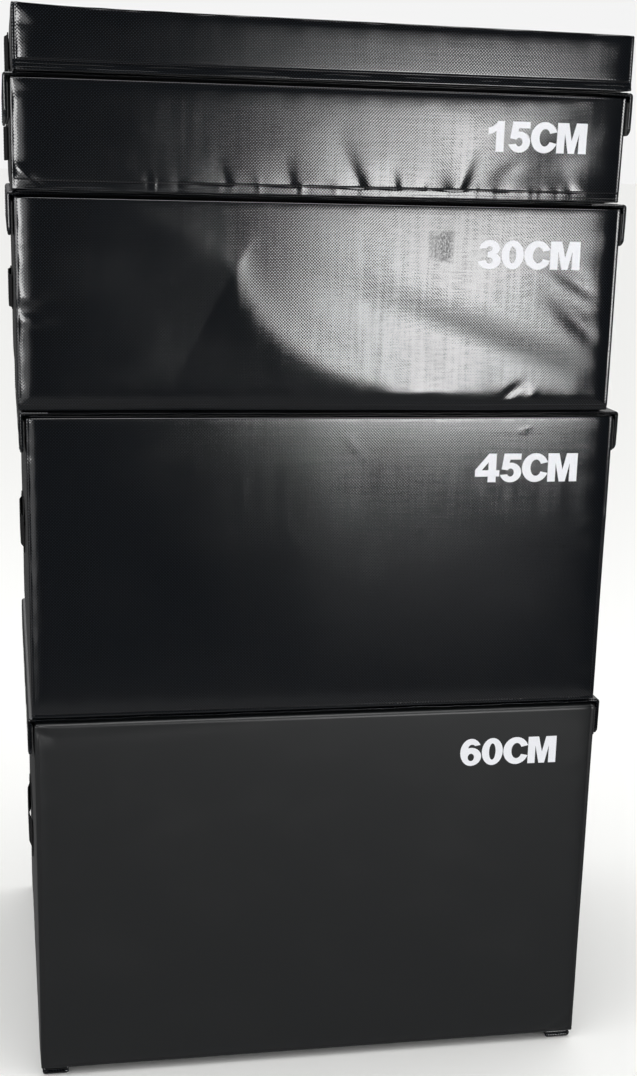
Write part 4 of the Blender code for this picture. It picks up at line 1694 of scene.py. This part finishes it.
def make_handle(box, side, sign):
    """The webbing as a closed grid: its outline round the columns, its length along the rows."""
    name = side + "_" + box["name"]
    low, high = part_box("handle_" + name)
    wall = box["x"] + sign * box["width"] / 2
    proud = abs((high.x if sign > 0 else low.x) - wall)
    half_length, half_width = (high.y - low.y) / 2, (high.z - low.z) / 2
    middle_y, middle_z = (low.y + high.y) / 2, (low.z + high.z) / 2
    thickness = 0.0022
    y = stations(2 * half_length, 0.0006, 0.003, 0.0050) - half_length
    across = stations(2 * half_width, 0.0004, 0.0016, 0.0007) - half_width
    end = np.minimum(half_length - np.abs(y), 0.0012) / 0.0012
    rim = np.minimum(half_width - np.abs(across), 0.0012) / 0.0012
    ribs = 1 - RIB_DEPTH / (thickness / 2) * (0.5 - 0.5 * np.cos(2 * math.pi * across / RIB_PITCH))
    half = thickness / 2 * rounded_rim(rim)[None] * rounded_rim(end)[:, None]
    half = np.maximum(half * ribs[None], 0.00001)
    gap = handle_offset(y, half_length, 0.0004, proud - thickness - 0.0022)
    sag = 0.0010 * np.cos(math.pi * y / (2 * half_length)) * (1 + 0.4 * np.sin(9 * y / half_length))
    centre = gap + thickness / 2
    outer = centre[:, None] + half
    inner = centre[:, None] - half
    x = wall + sign * np.concatenate([outer, inner[:, ::-1]], axis=1)
    z = middle_z - sag[:, None] + np.concatenate([across, across[::-1]])[None]
    rows, columns = x.shape
    points = np.stack([x, np.broadcast_to(middle_y + y[:, None], x.shape), z], -1)
    flat = np.concatenate([across, across[::-1]])
    uv = np.stack(np.broadcast_arrays(y[:, None], flat[None]), -1)
    handle = make_piece(
        "webbing_handle_" + name, points, [capped_quads(rows, columns)], webbing,
        box["body"], uv.reshape(-1, 2),
    )
    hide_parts("handle_" + name)
    out_x = wall + sign * (0.0004 + thickness)
    rows = []
    for end_sign in (-1, 1):
        y_out = middle_y + end_sign * (half_length - 0.005)
        y_in = middle_y + end_sign * (half_length - HANDLE_SEWN_END + 0.002)
        z_low, z_high = middle_z - half_width + 0.005, middle_z + half_width - 0.005
        square = [(y_out, z_low), (y_out, z_high), (y_in, z_high), (y_in, z_low), (y_out, z_low)]
        lines = list(zip(square, square[1:])) + [(square[0], square[2]), (square[1], square[3])]
        rows += [straight_row(out_x, sign, *line, count=30) for line in lines]
    stitch_rows("handle_stitching_" + name, rows, box["body"])
    return handle


handles = [make_handle(box, side, sign) for box in boxes.values() for side, sign in SIDES]
print("handles", len(handles), "triangles in one", triangles_of(handles[0]))

# %% [markdown]
# ## Zips
# The cover opens at the back with a coil zip, so that the foam can be put in. The tape is
# woven polyester, and the coil is a nylon filament that closes in two rows of teeth. One
# tooth is a small bead across the zip, and the row repeats it every 2.6 mm.

# %% Zip tape and coil
TOOTH_PITCH = 0.0026
TOOTH_WIDTH = 0.0014
PLATE_ROUND = 0.0004


def woven_tape(name):
    """Polyester zip tape: a fine close plain weave, matt, with a thin shine on the yarns."""
    material, tree, shader = new_material(name)
    fuzz = noise(tree, own_place(tree), 700.0, 3.0)
    weave = bumped(tree, upright_checker(tree, 1.0), 0.00012)
    tint = tinted(tree, fuzz, "#0B0B0C", "#1A1A1C")
    set_inputs(tree, shader, Base_Color=tint, Normal=weave, Roughness=0.65)
    return material


def nylon_coil(name):
    """Nylon coil: a drawn filament with a clear low gloss and faint drawing lines."""
    material, tree, shader = new_material(name)
    rough = ranged(tree, noise(tree, own_place(tree), 1200.0, 2.0), 0.3, 0.7, 0.28, 0.42)
    set_inputs(tree, shader, Base_Color=linear("#101012"), Roughness=rough, IOR=PLASTIC_IOR)
    return material


tape_cloth = woven_tape("polyester_zip_tape")
coil_nylon = nylon_coil("nylon_zip_coil")


def plate(low, high, steps):
    """A flat plate in the plane of X and Z with rounded rims: its outline round the columns,
    its length along the rows."""
    x = low[0] + stations(high[0] - low[0], 0.0002, 0.0006, steps)
    half_y, half_z = (high[1] - low[1]) / 2, (high[2] - low[2]) / 2
    turn = np.arange(16) * 2 * math.pi / 16
    cos, sin = np.cos(turn), np.sin(turn)
    y = signed_power(sin, 0.6) * half_y
    z = signed_power(cos, 0.15) * half_z
    end = np.minimum(np.minimum(x - low[0], high[0] - x), PLATE_ROUND) / PLATE_ROUND
    narrow = np.maximum(rounded_rim(end), 0.02)[:, None]
    points = np.stack([
        np.broadcast_to(x[:, None], (len(x), 16)),
        (low[1] + high[1]) / 2 + y[None] * narrow,
        (low[2] + high[2]) / 2 + z[None] * np.ones_like(narrow),
    ], -1)
    return points.reshape(-1, 3), capped_quads(len(x), 16)


def tooth_row(x, y, level, half_gap, length, sign):
    """Teeth of one side of the coil: each a bead across the zip, and all of them one array."""
    turn = np.arange(6) * math.pi / 3
    along = np.array([-1.0, -0.7, 0.7, 1.0])
    radius = np.array([0.25, 0.95, 0.95, 0.25]) * TOOTH_WIDTH / 2
    shape = np.stack([
        radius[:, None] * np.cos(turn),
        radius[:, None] * np.sin(turn) * 1.3,
        np.repeat(along[:, None], 6, 1) * length / 2,
    ], -1).reshape(-1, 3)
    quads = grid_quads(4, 6, close_columns=True)
    caps = np.array([[5, 4, 3, 2], [5, 2, 1, 0], [18, 19, 20, 21], [18, 21, 22, 23]])
    places = np.stack([x, np.full_like(x, y), np.full_like(x, level + sign * half_gap)], 1)
    points = (places[:, None] + shape[None]).reshape(-1, 3)
    first = np.arange(len(x))[:, None, None] * len(shape)
    return points, (first + np.concatenate([quads, caps])[None]).reshape(-1, 4)


def make_zip(box):
    """The tape in the trough of the back, and the two rows of the closed coil on it."""
    low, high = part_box("zip_tape_" + box["name"])
    level = (low.z + high.z) / 2
    surface = box["y"] + box["depth"] / 2
    points, quads = plate((low.x, surface - 0.0013, low.z), (high.x, surface - 0.0003, high.z), 0.012)
    tape = make_piece("zip_cloth_" + box["name"], points, [quads], tape_cloth, box["body"])
    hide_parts("zip_tape_" + box["name"])
    x = np.arange(low.x + 0.006, high.x - 0.006, TOOTH_PITCH)
    one, one_faces = tooth_row(x, surface + 0.0007, level, 0.0012, 0.0034, 1)
    two, two_faces = tooth_row(x + TOOTH_PITCH / 2, surface + 0.0007, level, 0.0012, 0.0034, -1)
    coil = make_piece(
        "zip_coil_" + box["name"], np.concatenate([one, two]),
        [np.concatenate([one_faces, two_faces + len(one)])], coil_nylon, box["body"],
    )
    return tape, coil


zips = {name: make_zip(box) for name, box in boxes.items()}
print("zips", {name: triangles_of(pair[1]) for name, pair in zips.items()})

# %% [markdown]
# ## Zip sliders
# The slider is a domed casting, lacquered black, that sits over the closed coil, with a flat
# pull that hangs down from it. On the real zip the pull swings. Here dome and pull are one
# piece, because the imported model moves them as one.

# %% Zip sliders


def lacquered_zinc(name):
    """Die-cast zinc under black lacquer: a smooth dark metal, rubbed paler on its high spots."""
    material, tree, shader = new_material(name)
    rubbed = ranged(tree, noise(tree, own_place(tree), 420.0, 4.0), 0.58, 0.72, 0.0, 1.0)
    tint = tinted(tree, rubbed, "#1B1B1D", "#6F7074")
    set_inputs(tree, shader, Base_Color=tint, Metallic=0.9, Roughness=0.34)
    return material


zinc = lacquered_zinc("zinc_black_lacquer")


def slider_body(centre, length, width, height):
    """A closed dome over the coil: superellipse sections along X, wide at the mouth end."""
    t = np.linspace(-1, 1, 17)
    turn = np.arange(20) * 2 * math.pi / 20
    swell = (1 - np.abs(t) ** 6) ** 0.5
    wide = width / 2 * (0.80 + 0.20 * t) * np.maximum(swell, 0.05)
    high = height / 2 * (0.92 - 0.10 * t**2) * np.maximum(swell, 0.05)
    cos, sin = np.cos(turn), np.sin(turn)
    z = wide[:, None] * signed_power(cos, 0.55)[None]
    y = high[:, None] * signed_power(sin, 0.6)[None]
    x = np.broadcast_to(t[:, None] * length / 2, y.shape)
    points = np.stack([x, y, z], -1).reshape(-1, 3) + np.array(centre)
    return points, capped_quads(17, 20)


def slider_pull(top, length, width, thickness):
    """The pull: a ring between a rounded outline and a slot, with a flat section. Columns go
    round the ring and rows round the section."""
    turn = np.linspace(0, 2 * math.pi, 48, endpoint=False)
    cos, sin = np.cos(turn), np.sin(turn)
    outer = np.stack([signed_power(cos, 0.5) * width / 2, signed_power(sin, 0.35) * length / 2], -1)
    slot = signed_power(sin, 0.5) * length * 0.12 + length * 0.28
    inner = np.stack([cos * width * 0.22, slot], -1)
    depth = np.array([0.0, 0.3, 1.0, 1.0, 0.7, 0.0, -0.7, -1.0, -1.0, -0.3]) * thickness / 2
    share = np.array([0.0, 0.0, 0.10, 0.90, 1.0, 1.0, 1.0, 0.90, 0.10, 0.0])
    flat = inner[None] + (outer - inner)[None] * share[:, None, None]
    y = np.broadcast_to(depth[:, None], flat.shape[:2])
    points = np.stack([flat[..., 0], y, flat[..., 1] - length / 2], -1).reshape(-1, 3) + np.array(top)
    return points, grid_quads(10, 48, close_rows=True, close_columns=True)


def make_slider(box):
    """Dome and pull as one piece on the body that slides along the zip."""
    low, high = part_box("zip_slider_" + box["name"])
    tape_low, tape_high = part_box("zip_tape_" + box["name"])
    level = (tape_low.z + tape_high.z) / 2
    surface = box["y"] + box["depth"] / 2
    middle_x = (low.x + high.x) / 2
    deep = high.y - surface - 0.0018
    centre = (middle_x, surface + deep / 2 + 0.0002, level)
    top = (middle_x, high.y - 0.0009, level + 0.0035)
    dome, dome_faces = slider_body(centre, high.x - low.x, 0.0112, deep - 0.0004)
    pull, pull_faces = slider_pull(top, 0.028, 0.0088, 0.0015)
    points = np.concatenate([dome, pull])
    faces = np.concatenate([dome_faces, pull_faces + len(dome)])
    riding = "zip_slider_" + box["name"]
    slider = make_piece("slider_" + box["name"], points, [faces], zinc, riding)
    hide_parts("zip_slider_" + box["name"])
    return slider


sliders = {name: make_slider(box) for name, box in boxes.items()}
print("sliders", {name: triangles_of(slider) for name, slider in sliders.items()})

# %% [markdown]
# ## Finish
# The number of triangles in all the pieces that render is printed.

# %% Sizes and the end
shown = [piece for piece in bpy.data.objects if piece.type == "MESH" and not piece.hide_render]
print("triangles in all", sum(triangles_of(piece) for piece in shown))
